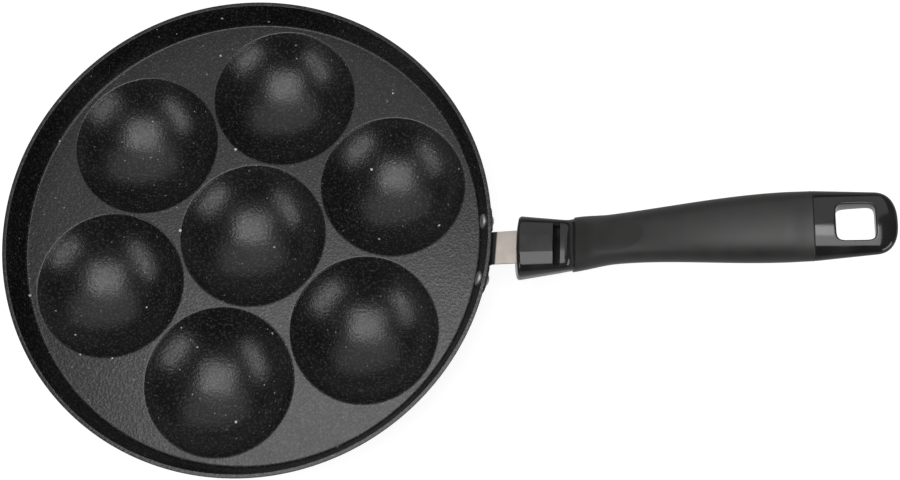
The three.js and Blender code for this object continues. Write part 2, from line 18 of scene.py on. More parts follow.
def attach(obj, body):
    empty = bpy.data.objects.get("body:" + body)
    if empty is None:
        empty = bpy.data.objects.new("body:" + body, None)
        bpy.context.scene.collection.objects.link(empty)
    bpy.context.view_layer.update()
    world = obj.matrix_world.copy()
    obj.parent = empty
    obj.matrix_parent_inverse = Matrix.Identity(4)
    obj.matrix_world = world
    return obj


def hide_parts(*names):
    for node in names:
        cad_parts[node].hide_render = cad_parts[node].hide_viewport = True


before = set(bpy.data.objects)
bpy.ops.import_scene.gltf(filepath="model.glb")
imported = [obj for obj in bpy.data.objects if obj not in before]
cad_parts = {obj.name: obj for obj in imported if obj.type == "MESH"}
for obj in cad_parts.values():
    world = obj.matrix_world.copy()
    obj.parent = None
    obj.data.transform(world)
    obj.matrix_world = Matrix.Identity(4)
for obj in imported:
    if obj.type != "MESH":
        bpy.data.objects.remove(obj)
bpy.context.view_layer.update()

MM = 0.001  # metres in a millimetre
FIT = 0.3  # clearance between fitted pieces
HAIRLINE = 0.05  # gap drawn at the handle's seams
MERGE = 1e-4  # points closer than this are one point
SHARP = 38.0  # edges that turn by more degrees than this stay sharp
UNIT = (0.0, 1.0)
NOISE_SPAN = (0.3, 0.7)  # most of a noise texture's values lie between these
FINE_DETAIL = 2.0  # octaves of the fine noise
SLOW_DETAIL = 3.0  # octaves of the slow noise
SMALLEST_SPECK = 0.4  # share of the largest speck's radius
FAINTEST_SPECK = 0.35  # share of the brightest speck's strength
log = logging.getLogger("pancake_pan")

Point = tuple[float, float]
Span = tuple[float, float]
Place = tuple[float, float, float]
Colour = tuple[float, float, float, float]
Ring = Callable[[float], Vector]


class Slot(Enum):
    """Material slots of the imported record."""

    COAT = "speckled_coat"
    STEEL = "bare_steel"
    RIVET = "rivet_aluminium"
    GLOSS = "gloss_black"
    SOFT = "soft_black"
    ZINC = "zinc_steel"


# Mesh helpers


def between(low: float, high: float, steps: int) -> list[float]:
    """Even steps from low to high, both included."""
    return [low + (high - low) * i / steps for i in range(steps + 1)]


def smoothstep(value: float, low: float, high: float) -> float:
    """Eases from 0 at low to 1 at high."""
    share = min(1.0, max(0.0, (value - low) / (high - low)))
    return share * share * (3.0 - 2.0 * share)


def arc(centre: Point, radius: float, start: float, end: float, steps: int) -> list[Point]:
    """Points at even steps on an arc between two angles in degrees, both included."""
    turns = [math.radians(angle) for angle in between(start, end, steps)]
    return [(centre[0] + radius * math.cos(t), centre[1] + radius * math.sin(t)) for t in turns]


def rounded_edge(radius: float, steps: int) -> list[Point]:
    """Distances back from an end face and in from the skin, on the way round from skin to face."""
    turns = between(0.0, math.pi / 2.0, steps)
    return [(radius * (1.0 - math.sin(t)), radius * (1.0 - math.cos(t))) for t in turns]


def turned(profile: list[Point], steps: int, axis: Vector) -> bmesh.types.BMesh:
    """Turns a profile about an upright axis.

    Args:
        profile: Points as radius and height.
        steps: Steps round the full turn.
        axis: A point on the axis.

    Returns:
        The turned sheet.
    """
    bm = bmesh.new()
    verts = [bm.verts.new((axis.x + radius, axis.y, axis.z + height)) for radius, height in profile]
    edges = [bm.edges.new(pair) for pair in zip(verts, verts[1:])]
    bmesh.ops.spin(
        bm, geom=[*verts, *edges], cent=axis, axis=(0, 0, 1), angle=math.tau, steps=steps, use_merge=True
    )
    bmesh.ops.remove_doubles(bm, verts=bm.verts, dist=MERGE)
    return bm


def join(bm: bmesh.types.BMesh, other: bmesh.types.BMesh) -> None:
    """Adds another mesh to a mesh.

    Args:
        bm: Mesh to add to.
        other: Mesh to add. It is freed.
    """
    mesh = bpy.data.meshes.new("joined")
    other.to_mesh(mesh)
    other.free()
    bm.from_mesh(mesh)
    bpy.data.meshes.remove(mesh)


def loft(bm: bmesh.types.BMesh, rings: list[Ring], sides: int) -> None:
    """Lays a sheet through closed rings, one after the other.

    Args:
        bm: Mesh to add to.
        rings: Each gives a place for a turn in radians.
        sides: Sides of every ring.
    """
    rows = len(rings) - 1
    made = bmesh.ops.create_grid(bm, x_segments=sides, y_segments=rows, size=0.5)
    for vert in made["verts"]:
        row = round((vert.co.y + 0.5) * rows)
        vert.co = rings[row](math.tau * (vert.co.x + 0.5))


def close_mesh(bm: bmesh.types.BMesh) -> None:
    """Merges seams and poles and turns all faces outwards.

    Args:
        bm: Mesh to close.
    """
    bmesh.ops.remove_doubles(bm, verts=bm.verts, dist=MERGE)
    bmesh.ops.dissolve_degenerate(bm, edges=bm.edges, dist=MERGE)
    bmesh.ops.recalc_face_normals(bm, faces=bm.faces)


def to_object(bm: bmesh.types.BMesh, name: str) -> bpy.types.Object:
    """Puts a mesh into the scene as an object at the origin.

    Args:
        bm: The mesh. It is freed.
        name: Name of the object.

    Returns:
        The object.
    """
    mesh = bpy.data.meshes.new(name)
    bm.to_mesh(mesh)
    bm.free()
    item = bpy.data.objects.new(name, mesh)
    bpy.context.scene.collection.objects.link(item)
    return item


def cut_away(bm: bmesh.types.BMesh, cutter: bmesh.types.BMesh) -> bmesh.types.BMesh:
    """Cuts one closed mesh out of another.

    Args:
        bm: Mesh to cut. It is freed.
        cutter: Mesh to take away. It is freed.

    Returns:
        The mesh that is left.
    """
    for shape in (bm, cutter):
        close_mesh(shape)
    target = to_object(bm, "cut_target")
    tool = to_object(cutter, "cut_tool")
    modifier = target.modifiers.new("cut", "BOOLEAN")
    modifier.operation = "DIFFERENCE"
    modifier.solver = "EXACT"
    modifier.object = tool
    bpy.context.view_layer.update()
    left = bmesh.new()
    left.from_object(target, bpy.context.evaluated_depsgraph_get())
    for item in (target, tool):
        mesh = item.data
        bpy.data.objects.remove(item)
        bpy.data.meshes.remove(mesh)
    return left


def finish_piece(
    bm: bmesh.types.BMesh, node: str, material: bpy.types.Material
) -> bpy.types.Object:
    """Makes a finished piece that stands for a node of the frame.

    Args:
        bm: Its mesh in millimetres. It is freed.
        node: Node that the piece replaces.
        material: Its finish.

    Returns:
        The piece.
    """
    close_mesh(bm)
    bmesh.ops.scale(bm, vec=(MM, MM, MM), verts=bm.verts)
    piece = to_object(bm, f"{node}_visual")
    piece.data.materials.append(material)
    piece.data.shade_smooth()
    piece.data.set_sharp_from_angle(angle=math.radians(SHARP))
    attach(piece, "root")
    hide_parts(node)
    return piece


# Node trees


class Graph:
    """Adds nodes to one node tree and joins them."""

    def __init__(self, tree: bpy.types.NodeTree) -> None:
        """Takes the tree to work on."""
        self.tree = tree

    def node(self, kind: str, inputs: dict | None = None, **settings: object) -> bpy.types.Node:
        """Adds a node.

        Args:
            kind: Type name of the node.
            inputs: Values or output sockets by input name or number.
            settings: Properties of the node itself.

        Returns:
            The node.
        """
        made = self.tree.nodes.new(kind)
        for key, value in settings.items():
            setattr(made, key, value)
        self.feed(made, inputs or {})
        return made

    def feed(self, node: bpy.types.Node, inputs: dict) -> None:
        """Links or sets inputs of a node.

        Args:
            node: The node.
            inputs: Values or output sockets by input name or number.
        """
        for key, value in inputs.items():
            if isinstance(value, bpy.types.NodeSocket):
                self.tree.links.new(value, node.inputs[key])
            else:
                node.inputs[key].default_value = value

    def math(self, operation: str, *values: object) -> bpy.types.NodeSocket:
        """Adds a Math node and returns its result."""
        return self.node("ShaderNodeMath", dict(enumerate(values)), operation=operation).outputs[0]

    def ramp(self, value: object, source: Span, target: Span) -> bpy.types.NodeSocket:
        """Maps a value from one range to another, clamped.

        Args:
            value: Value or socket to map.
            source: Range that the value comes from.
            target: What the two ends of that range become.

        Returns:
            The result.
        """
        names = ("Value", "From Min", "From Max", "To Min", "To Max")
        inputs = dict(zip(names, (value, *source, *target)))
        return self.node("ShaderNodeMapRange", inputs).outputs["Result"]

    def spread(self, noise: bpy.types.NodeSocket, target: Span) -> bpy.types.NodeSocket:
        """Maps the usual range of a noise to another range."""
        return self.ramp(noise, NOISE_SPAN, target)

    def mix(self, share: object, first: object, second: object) -> bpy.types.NodeSocket:
        """Mixes two colours.

        Args:
            share: Share of the second colour.
            first: Colour or socket.
            second: Colour or socket.

        Returns:
            The mixed colour.
        """
        made = self.node("ShaderNodeMix", {"Factor": share}, data_type="RGBA")
        colours = [number for number, socket in enumerate(made.inputs) if socket.type == "RGBA"]
        self.feed(made, dict(zip(colours, (first, second))))
        return next(socket for socket in made.outputs if socket.type == "RGBA")


def grey(level: float) -> Colour:
    """A neutral colour."""
    return (level, level, level, 1.0)


def new_group(name: str, inputs: tuple[str, ...], outputs: tuple[str, ...]) -> tuple[Graph, dict, dict]:
    """Starts a shader node group that takes coordinates and numbers and gives numbers.

    Args:
        name: Name of the group.
        inputs: Names of the numbers that go in.
        outputs: Names of the numbers that come out.

    Returns:
        The graph to fill, the group's inputs and the sockets that feed its outputs.
    """
    tree = bpy.data.node_groups.new(name, "ShaderNodeTree")
    tree.interface.new_socket("Vector", in_out="INPUT", socket_type="NodeSocketVector")
    for labels, way in ((inputs, "INPUT"), (outputs, "OUTPUT")):
        for label in labels:
            tree.interface.new_socket(label, in_out=way, socket_type="NodeSocketFloat")
    graph = Graph(tree)
    entry = graph.node("NodeGroupInput").outputs
    leave = graph.node("NodeGroupOutput").inputs
    return graph, {s.name: s for s in entry if s.name}, {s.name: s for s in leave if s.name}


def grain_group() -> bpy.types.NodeTree:
    """Fine grain: a height for bumps and a slower tone for colour and gloss.

    Returns:
        The group.
    """
    graph, entry, leave = new_group("surface_grain", ("Fine", "Slow"), ("Height", "Tone"))
    for scale, detail, label in (("Fine", FINE_DETAIL, "Height"), ("Slow", SLOW_DETAIL, "Tone")):
        inputs = {"Vector": entry["Vector"], "Scale": entry[scale], "Detail": detail}
        noise = graph.node("ShaderNodeTexNoise", inputs)
        graph.tree.links.new(noise.outputs["Fac"], leave[label])
    return graph.tree


def speck_group() -> bpy.types.NodeTree:
    """Round specks of different sizes, scattered one to a cell in a share of the cells.

    Returns:
        The group.
    """
    graph, entry, leave = new_group("scattered_specks", ("Scale", "Radius", "Share"), ("Mask",))
    cells = graph.node("ShaderNodeTexVoronoi", {"Vector": entry["Vector"], "Scale": entry["Scale"]})
    chance = graph.node("ShaderNodeSeparateColor", {"Color": cells.outputs["Color"]}).outputs
    size = graph.ramp(chance["Green"], UNIT, (SMALLEST_SPECK, 1.0))
    radius = graph.math("MULTIPLY", entry["Radius"], size)
    inside = graph.math("LESS_THAN", cells.outputs["Distance"], radius)
    chosen = graph.math("LESS_THAN", chance["Red"], entry["Share"])
    strength = graph.ramp(chance["Blue"], UNIT, (FAINTEST_SPECK, 1.0))
    mask = graph.math("MULTIPLY", graph.math("MULTIPLY", inside, chosen), strength)
    graph.tree.links.new(mask, leave["Mask"])
    return graph.tree


# Finishes


@dataclass(frozen=True)
class Specks:
    """One kind of speck: cells to the metre, radius as a share of a cell, and strength."""

    scale: float
    radius: float
    strength: float


@dataclass(frozen=True)
class Finish:
    """What every finish shares: the node groups and a Principled shader."""

    grain: bpy.types.NodeTree
    specks: bpy.types.NodeTree

    def start(self, name: str) -> tuple[bpy.types.Material, Graph, bpy.types.NodeSocket]:
        """Starts a material.

        Args:
            name: Name of the material.

        Returns:
            The material, its graph and the Object coordinates.
        """
        material = bpy.data.materials.new(name)
        material.use_nodes = True
        graph = Graph(material.node_tree)
        return material, graph, graph.node("ShaderNodeTexCoord").outputs["Object"]

    def dress(self, material: bpy.types.Material, inputs: dict) -> bpy.types.Material:
        """Feeds the Principled shader of a material and returns the material."""
        Graph(material.node_tree).feed(material.node_tree.nodes["Principled BSDF"], inputs)
        return material

    def bumped(self, graph: Graph, height: bpy.types.NodeSocket, bump: Span) -> bpy.types.NodeSocket:
        """Turns a height into a bumped normal. The bump is a strength and a depth in metres."""
        inputs = {"Strength": bump[0], "Distance": bump[1], "Height": height}
        return graph.node("ShaderNodeBump", inputs).outputs["Normal"]

    def grained(
        self, graph: Graph, place: bpy.types.NodeSocket, scales: Span
    ) -> tuple[bpy.types.NodeSocket, bpy.types.NodeSocket]:
        """Places the grain group.

        Args:
            graph: Graph to add to.
            place: Coordinates.
            scales: Scales of the fine and of the slow grain.

        Returns:
            The fine height and the slow tone.
        """
        inputs = {"Vector": place, "Fine": scales[0], "Slow": scales[1]}
        made = graph.node("ShaderNodeGroup", inputs, node_tree=self.grain).outputs
        return made["Height"], made["Tone"]

    def scattered(
        self, graph: Graph, place: bpy.types.NodeSocket, kind: Specks, share: object
    ) -> bpy.types.NodeSocket:
        """Places the speck group.

        Args:
            graph: Graph to add to.
            place: Coordinates.
            kind: Kind of speck.
            share: Share of the cells that hold a speck, as a number or a socket.

        Returns:
            The specks' strength.
        """
        inputs = {"Vector": place, "Scale": kind.scale, "Radius": kind.radius, "Share": share}
        mask = graph.node("ShaderNodeGroup", inputs, node_tree=self.specks).outputs["Mask"]
        return graph.math("MULTIPLY", mask, kind.strength)


@dataclass(frozen=True)
class SpeckledCoat(Finish):
    """Satin black non-stick coat with a fine grain and scattered pale specks."""

    scales: Span = (720.0, 70.0)
    dark: float = 0.0045
    light: float = 0.04
    light_grain: Span = (0.5, 0.72)
    speck: float = 0.65
    dust: Specks = Specks(480.0, 0.14, 0.18)
    dust_share: float = 0.8
    flecks: Specks = Specks(240.0, 0.12, 0.46)
    fleck_tone: Span = (0.4, 0.6)  # flecks crowd where the tone is high
    fleck_share: Span = (0.15, 0.95)
    chips: Specks = Specks(120.0, 0.105, 1.0)
    chip_share: float = 0.2
    rough: Span = (0.25, 0.3)
    rough_grain: Span = (0.04, -0.04)
    bump: Span = (0.34, 0.0004)

    def material(self) -> bpy.types.Material:
        """Builds the finish.

        Returns:
            The material.
        """
        material, graph, place = self.start("pan_coat")
        fine, tone = self.grained(graph, place, self.scales)
        base = graph.mix(graph.ramp(fine, self.light_grain, UNIT), grey(self.dark), grey(self.light))
        crowd = graph.ramp(tone, self.fleck_tone, self.fleck_share)
        specks = self.scattered(graph, place, self.dust, self.dust_share)
        for kind, share in ((self.flecks, crowd), (self.chips, self.chip_share)):
            specks = graph.math("MAXIMUM", specks, self.scattered(graph, place, kind, share))
        rough = graph.math("ADD", graph.spread(tone, self.rough), graph.spread(fine, self.rough_grain))
        return self.dress(material, {
            "Base Color": graph.mix(specks, base, grey(self.speck)),
            "Roughness": rough,
            "Normal": self.bumped(graph, fine, self.bump),
        })


@dataclass(frozen=True)
class BareSteel(Finish):
    """Warm satin steel with a faint mottle. The flange and the bend are painted near black: painted shade for
    the rim's shadow and the dark rim mirrored in the bend.
    """

    scales: Span = (1500.0, 140.0)
    dark: Colour = (0.58, 0.52, 0.47, 1.0)
    light: Colour = (0.68, 0.62, 0.56, 1.0)
    # painted shade: the near-black colour given to the flange and the bend
    coat: float = 0.012
    painted_shade_end: float = 0.1326  # metres along X; painted shade, near black, runs up to here
    painted_shade_fade: float = 0.0005
    metallic: float = 0.45
    rough: Span = (0.5, 0.6)
    bump: Span = (0.12, 0.0001)

    def material(self) -> bpy.types.Material:
        """Builds the finish.

        Returns:
            The material.
        """
        material, graph, place = self.start("tang_steel")
        fine, tone = self.grained(graph, place, self.scales)
        along = graph.node("ShaderNodeSeparateXYZ", {"Vector": place}).outputs["X"]
        # mask of the painted shade: 0 on the flange and the bend, 1 on the steel beyond
        unshaded = graph.ramp(along, (self.painted_shade_end, self.painted_shade_end + self.painted_shade_fade), UNIT)
        steel = graph.mix(graph.spread(tone, UNIT), self.dark, self.light)
        return self.dress(material, {
            "Base Color": graph.mix(unshaded, grey(self.coat), steel),
            "Roughness": graph.spread(fine, self.rough),
            "Metallic": graph.math("MULTIPLY", unshaded, self.metallic),
            "Normal": self.bumped(graph, fine, self.bump),
        })


@dataclass(frozen=True)
class BrightMetal(Finish):
    """Bright drawn metal of a fastener, a little scuffed."""

    name: str = "bright_metal"
    level: float = 0.5
    roughness: float = 0.55
    scales: Span = (2600.0, 500.0)
    worn: float = 0.85  # share of the level that is left where it is dull
    scuff: Span = (-0.05, 0.07)

    def material(self) -> bpy.types.Material:
        """Builds the finish.

        Returns:
            The material.
        """
        material, graph, place = self.start(self.name)
        fine, tone = self.grained(graph, place, self.scales)
        smooth, scuffed = (self.roughness + change for change in self.scuff)
        return self.dress(material, {
            "Base Color": graph.mix(graph.spread(tone, UNIT), grey(self.level * self.worn), grey(self.level)),
            "Roughness": graph.spread(fine, (smooth, scuffed)),
            "Metallic": 1.0,
        })


@dataclass(frozen=True)
class GlossMoulding(Finish):
    """Glossy black moulded plastic with a slight waviness and a few dust specks."""

    scales: Span = (420.0, 70.0)
    dark: float = 0.012
    light: float = 0.022
    dust: Specks = Specks(260.0, 0.05, 1.0)
    dust_share: float = 0.12
    dust_level: float = 0.15
    rough: Span = (0.09, 0.14)
    bump: Span = (0.05, 0.0002)

    def material(self) -> bpy.types.Material:
        """Builds the finish.

        Returns:
            The material.
        """
        material, graph, place = self.start("gloss_moulding")
        fine, tone = self.grained(graph, place, self.scales)
        base = graph.mix(graph.spread(tone, UNIT), grey(self.dark), grey(self.light))
        dust = self.scattered(graph, place, self.dust, self.dust_share)
        return self.dress(material, {
            "Base Color": graph.mix(dust, base, grey(self.dust_level)),
            "Roughness": graph.spread(tone, self.rough),
            "Normal": self.bumped(graph, fine, self.bump),
        })


@dataclass(frozen=True)
class SoftTouch(Finish):
    """Satin soft-touch skin with a very fine matt grain."""

    scales: Span = (2400.0, 90.0)
    dark: Colour = (0.022, 0.021, 0.0205, 1.0)
    light: Colour = (0.03, 0.029, 0.028, 1.0)
    rough: Span = (0.38, 0.44)
    rough_grain: Span = (-0.02, 0.03)
    bump: Span = (0.12, 0.0001)

    def material(self) -> bpy.types.Material:
        """Builds the finish.

        Returns:
            The material.
        """
        material, graph, place = self.start("soft_touch")
        fine, tone = self.grained(graph, place, self.scales)
        rough = graph.math("ADD", graph.spread(tone, self.rough), graph.spread(fine, self.rough_grain))
        return self.dress(material, {
            "Base Color": graph.mix(graph.spread(tone, UNIT), self.dark, self.light),
            "Roughness": rough,
            "Normal": self.bumped(graph, fine, self.bump),
        })


# Pan body


@dataclass(frozen=True)
class PanBody:
    """The casting: plate, flared wall, rim lip and seven wells on flat discs."""

    well_radius: float = 39.5
    well_depth: float = 19.0
    well_wall: float = 2.6
    well_edge_round: float = 1.6
    well_space: float = 2.1  # plate left between neighbouring wells
    ring_wells: int = 6
    ring_turn: float = 24.9  # degrees from the bracket to the first well
    disc_radius: float = 20.0
    disc_chamfer: float = 0.8
    base_thickness: float = 3.6  # metal under the deepest point of a well
    plate_border: float = 3.6  # plate left between the ring of wells and the wall
    plate_thickness: float = 3.2
    wall_height: float = 17.0
    wall_flare: float = 3.8  # how far the wall leans out over its height
    wall_thickness: float = 1.8
    foot_round: float = 1.3
    heel_round: float = 4.0
    lip_height: float = 2.0
    lip_overhang: float = 0.47
    lip_round: float = 0.4
    flat_ring: float = 0.2  # width of flat plate kept beside every round
    rim_steps: int = 288
    well_steps: int = 144
    bowl_steps: int = 36
    round_steps: int = 6

    @property
    def plate_z(self) -> float:
        """Height of the plate's top."""
        return self.base_thickness + self.well_depth

    @property
    def bottom_z(self) -> float:
        """Height of the plate's underside."""
        return self.plate_z - self.plate_thickness

    @property
    def rim_z(self) -> float:
        """Height of the rim."""
        return self.plate_z + self.wall_height

    @property
    def pitch(self) -> float:
        """Distance from the middle well to each of the others."""
        return 2.0 * self.well_radius + self.well_space

    @property
    def foot_radius(self) -> float:
        """Radius at which the wall's inner face meets the plate."""
        return self.pitch + self.well_radius + self.plate_border

    @property
    def rim_radius(self) -> float:
        """Outer radius of the rim."""
        return self.foot_radius + self.wall_flare + self.wall_thickness + self.lip_overhang

    @property
    def lean(self) -> float:
        """Lean of the wall in degrees."""
        return math.degrees(math.atan(self.wall_flare / self.wall_height))

    @property
    def sphere(self) -> float:
        """Radius of a well's sphere."""
        return (self.well_radius**2 + self.well_depth**2) / (2.0 * self.well_depth)

    def inner_at(self, z: float) -> float:
        """Radius of the wall's inner face at a height."""
        return self.foot_radius + self.wall_flare * (z - self.plate_z) / self.wall_height

    def outer_at(self, z: float) -> float:
        """Radius of the wall's outer face at a height."""
        return self.inner_at(z) + self.wall_thickness

    def centres(self) -> list[Vector]:
        """Axes of the seven wells.

        Returns:
            A point on each axis, the middle well first.
        """
        turns = [math.radians(self.ring_turn + 360.0 * i / self.ring_wells) for i in range(self.ring_wells)]
        ring = [Vector((self.pitch * math.cos(t), self.pitch * math.sin(t), 0.0)) for t in turns]
        return [Vector((0.0, 0.0, 0.0)), *ring]

    def skin_profile(self) -> list[Point]:
        """Profile from the plate's top over the rim to the plate's underside.

        Returns:
            Points as radius and height.
        """
        slant = math.cos(math.radians(self.lean))
        lip_top = self.rim_z - self.lip_round
        lip_low = self.rim_z - self.lip_height
        foot_z = self.plate_z + self.foot_round
        heel_z = self.bottom_z + self.heel_round
        foot = (self.inner_at(foot_z) - self.foot_round / slant, foot_z)
        inner = (self.inner_at(lip_top) + self.lip_round / slant, lip_top)
        outer = (self.outer_at(lip_top) + self.lip_overhang - self.lip_round / slant, lip_top)
        heel = (self.outer_at(heel_z) - self.heel_round / slant, heel_z)
        return [
            (foot[0] - self.flat_ring, self.plate_z),
            *arc(foot, self.foot_round, -90.0, -self.lean, self.round_steps),
            *arc(inner, self.lip_round, 180.0 - self.lean, 90.0, self.round_steps),
            *arc(outer, self.lip_round, 90.0, -self.lean, self.round_steps),
            (self.outer_at(lip_low) + self.lip_overhang, lip_low + self.lip_overhang),
            (self.outer_at(lip_low), lip_low),
            *arc(heel, self.heel_round, -self.lean, -90.0, self.round_steps),
            (heel[0] - self.flat_ring, self.bottom_z),
        ]

    def well_profile(self) -> list[Point]:
        """Profile of a well's inside, from its deepest point out onto the plate.

        Returns:
            Points as radius and height.
        """
        rise = self.sphere - self.well_depth + self.well_edge_round
        reach = self.sphere + self.well_edge_round
        edge = (math.sqrt(reach**2 - rise**2), self.plate_z - self.well_edge_round)
        turn = math.degrees(math.asin(rise / reach))
        return [
            *arc((0.0, self.base_thickness + self.sphere), self.sphere, -90.0, -turn, self.bowl_steps),
            *arc(edge, self.well_edge_round, 180.0 - turn, 90.0, self.round_steps)[1:],
            (edge[0] + self.flat_ring, self.plate_z),
        ]

    def bowl_profile(self) -> list[Point]:
        """Profile of a well's outside, from the flat disc up to the plate's underside.

        Returns:
            Points as radius and height.
        """
        outer = self.sphere + self.well_wall
        centre = self.base_thickness + self.sphere
        start = -math.degrees(math.acos(self.disc_radius / outer))
        end = -math.degrees(math.asin((centre - self.bottom_z) / outer))
        bowl = arc((0.0, centre), outer, start, end, self.bowl_steps)
        return [
            (0.0, 0.0),
            (self.disc_radius - self.disc_chamfer, 0.0),
            (self.disc_radius, self.disc_chamfer),
            *bowl,
            (bowl[-1][0] + self.flat_ring, self.bottom_z),
        ]

    def build(self, material: bpy.types.Material) -> bpy.types.Object:
        """Builds and dresses the casting.

        Args:
            material: Its coat.

        Returns:
            The piece.
        """
        bm = turned(self.skin_profile(), self.rim_steps, Vector())
        for centre in self.centres():
            join(bm, turned(self.well_profile(), self.well_steps, centre))
            join(bm, turned(self.bowl_profile(), self.well_steps, centre))
        for level in (self.plate_z, self.bottom_z):
            edges = [e for e in bm.edges if e.is_boundary and abs(e.verts[0].co.z - level) < MERGE]
            bmesh.ops.triangle_fill(bm, use_beauty=True, edges=edges, normal=(0.0, 0.0, 1.0))
        return finish_piece(bm, "pan_body", material)


# Handle


@dataclass(frozen=True)
class Section:
    """Half sizes of a section: across, above and below the spine, and squareness."""

    across: float
    above: float
    below: float
    square: float

    @property
    def sizes(self) -> tuple[float, float, float, float]:
        """The half sizes and the squareness in order."""
        return self.across, self.above, self.below, self.square

    def mix(self, other: "Section", share: float) -> "Section":
        """The section a share of the way to another one."""
        return Section(*[a + (b - a) * share for a, b in zip(self.sizes, other.sizes)])

    def inset(self, amount: float) -> "Section":
        """The section made smaller all round."""
        return Section(self.across - amount, self.above - amount, self.below - amount, self.square)

    def height(self, share: float) -> float:
        """Height of the outline at a share of the way across."""
        return self.above * (1.0 - share**self.square) ** (1.0 / self.square)

    def point(self, turn: float) -> Point:
        """Place on the outline at a turn.

        Args:
            turn: Turn round the outline in radians.

        Returns:
            Distances across and up.
        """
        side, rise = math.cos(turn), math.sin(turn)
        power = 2.0 / self.square
        across = math.copysign(abs(side) ** power, side) * self.across
        return across, math.copysign(abs(rise) ** power, rise) * (self.above if rise > 0.0 else self.below)


@dataclass(frozen=True)
class Spine:
    """Middle line of the handle: a curve whose slope is set along its length, turned aside at the rim."""

    pan: PanBody
    skew: float = 3.0  # degrees
    standoff: float = 14.2  # from the rim out to the collar's front
    rise: float = -1.8  # spine above the rim at the collar's front
    collar: float = 22.0
    neck: float = 8.6
    grip: float = 118.8
    tail: float = 36.0
    waist: float = 23.0  # narrowest place, from the grip's front
    collar_slope: float = 20.0  # degrees
    neck_slope: float = 40.5
    tail_slope: float = 16.4
    ease: float = 2.5  # how soon the grip bends over towards the tail's slope
    step: float = 0.5

    @property
    def grip_start(self) -> float:
        """Reach of the grip's front."""
        return self.collar + self.neck

    @property
    def tail_start(self) -> float:
        """Reach of the tail's front."""
        return self.grip_start + self.grip

    @property
    def length(self) -> float:
        """Reach of the tail's end."""
        return self.tail_start + self.tail

    def slope(self, reach: float) -> float:
        """Slope at a reach.

        Args:
            reach: Distance along the spine from the collar's front.

        Returns:
            The slope in radians.
        """
        if reach <= self.grip_start:
            bend = smoothstep(reach, self.collar, self.grip_start)
            return math.radians(self.collar_slope + (self.neck_slope - self.collar_slope) * bend)
        left = max(0.0, (self.length - reach) / (self.length - self.grip_start))
        return math.radians(self.tail_slope + (self.neck_slope - self.tail_slope) * left**self.ease)

    def lean(self, reach: float) -> float:
        """Lean of a section in radians: upright up to the grip's front, square on the spine by the waist."""
        return self.slope(reach) * smoothstep(reach, self.grip_start, self.grip_start + self.waist)

    def turned(self, x: float, y: float, z: float) -> Vector:
        """A point drawn over the X axis, turned aside with the handle.

        Args:
            x: Distance out along X.
            y: Distance to the left.
            z: Height.

        Returns:
            The point in the frame.
        """
        turn = math.radians(self.skew)
        out = x - self.pan.rim_radius
        return Vector((
            self.pan.rim_radius + out * math.cos(turn) - y * math.sin(turn),
            out * math.sin(turn) + y * math.cos(turn),
            z,
        ))

    @cached_property
    def places(self) -> list[Point]:
        """Places on the spine at even steps, as x and z.

        Returns:
            The places in order.
        """
        x, z = self.pan.rim_radius + self.standoff, self.pan.rim_z + self.rise
        found = [(x, z)]
        for i in range(math.ceil(self.length / self.step)):
            slope = self.slope((i + 0.5) * self.step)
            x += self.step * math.cos(slope)
            z += self.step * math.sin(slope)
            found.append((x, z))
        return found

    def place(self, reach: float) -> Point:
        """Place on the spine as x and z, before the handle is turned aside.

        Args:
            reach: Distance along the spine from the collar's front.

        Returns:
            The place.
        """
        index = int(max(reach, 0.0) / self.step)
        stride = reach - index * self.step
        slope = self.slope(max(reach - stride / 2.0, 0.0))
        x, z = self.places[index]
        return x + stride * math.cos(slope), z + stride * math.sin(slope)

    def point(self, reach: float, across: float, up: float) -> Vector:
        """A point of the section at a reach.

        Args:
            reach: Distance along the spine from the collar's front.
            across: Distance to the left of the spine.
            up: Distance above the spine.

        Returns:
            The point in the frame.
        """
        x, z = self.place(reach)
        lean = self.lean(reach)
        return self.turned(x - up * math.sin(lean), across, z + up * math.cos(lean))

    def ring(self, reach: float, section: Section) -> Ring:
        """A ring round the spine."""
        return lambda turn: self.point(reach, *section.point(turn))


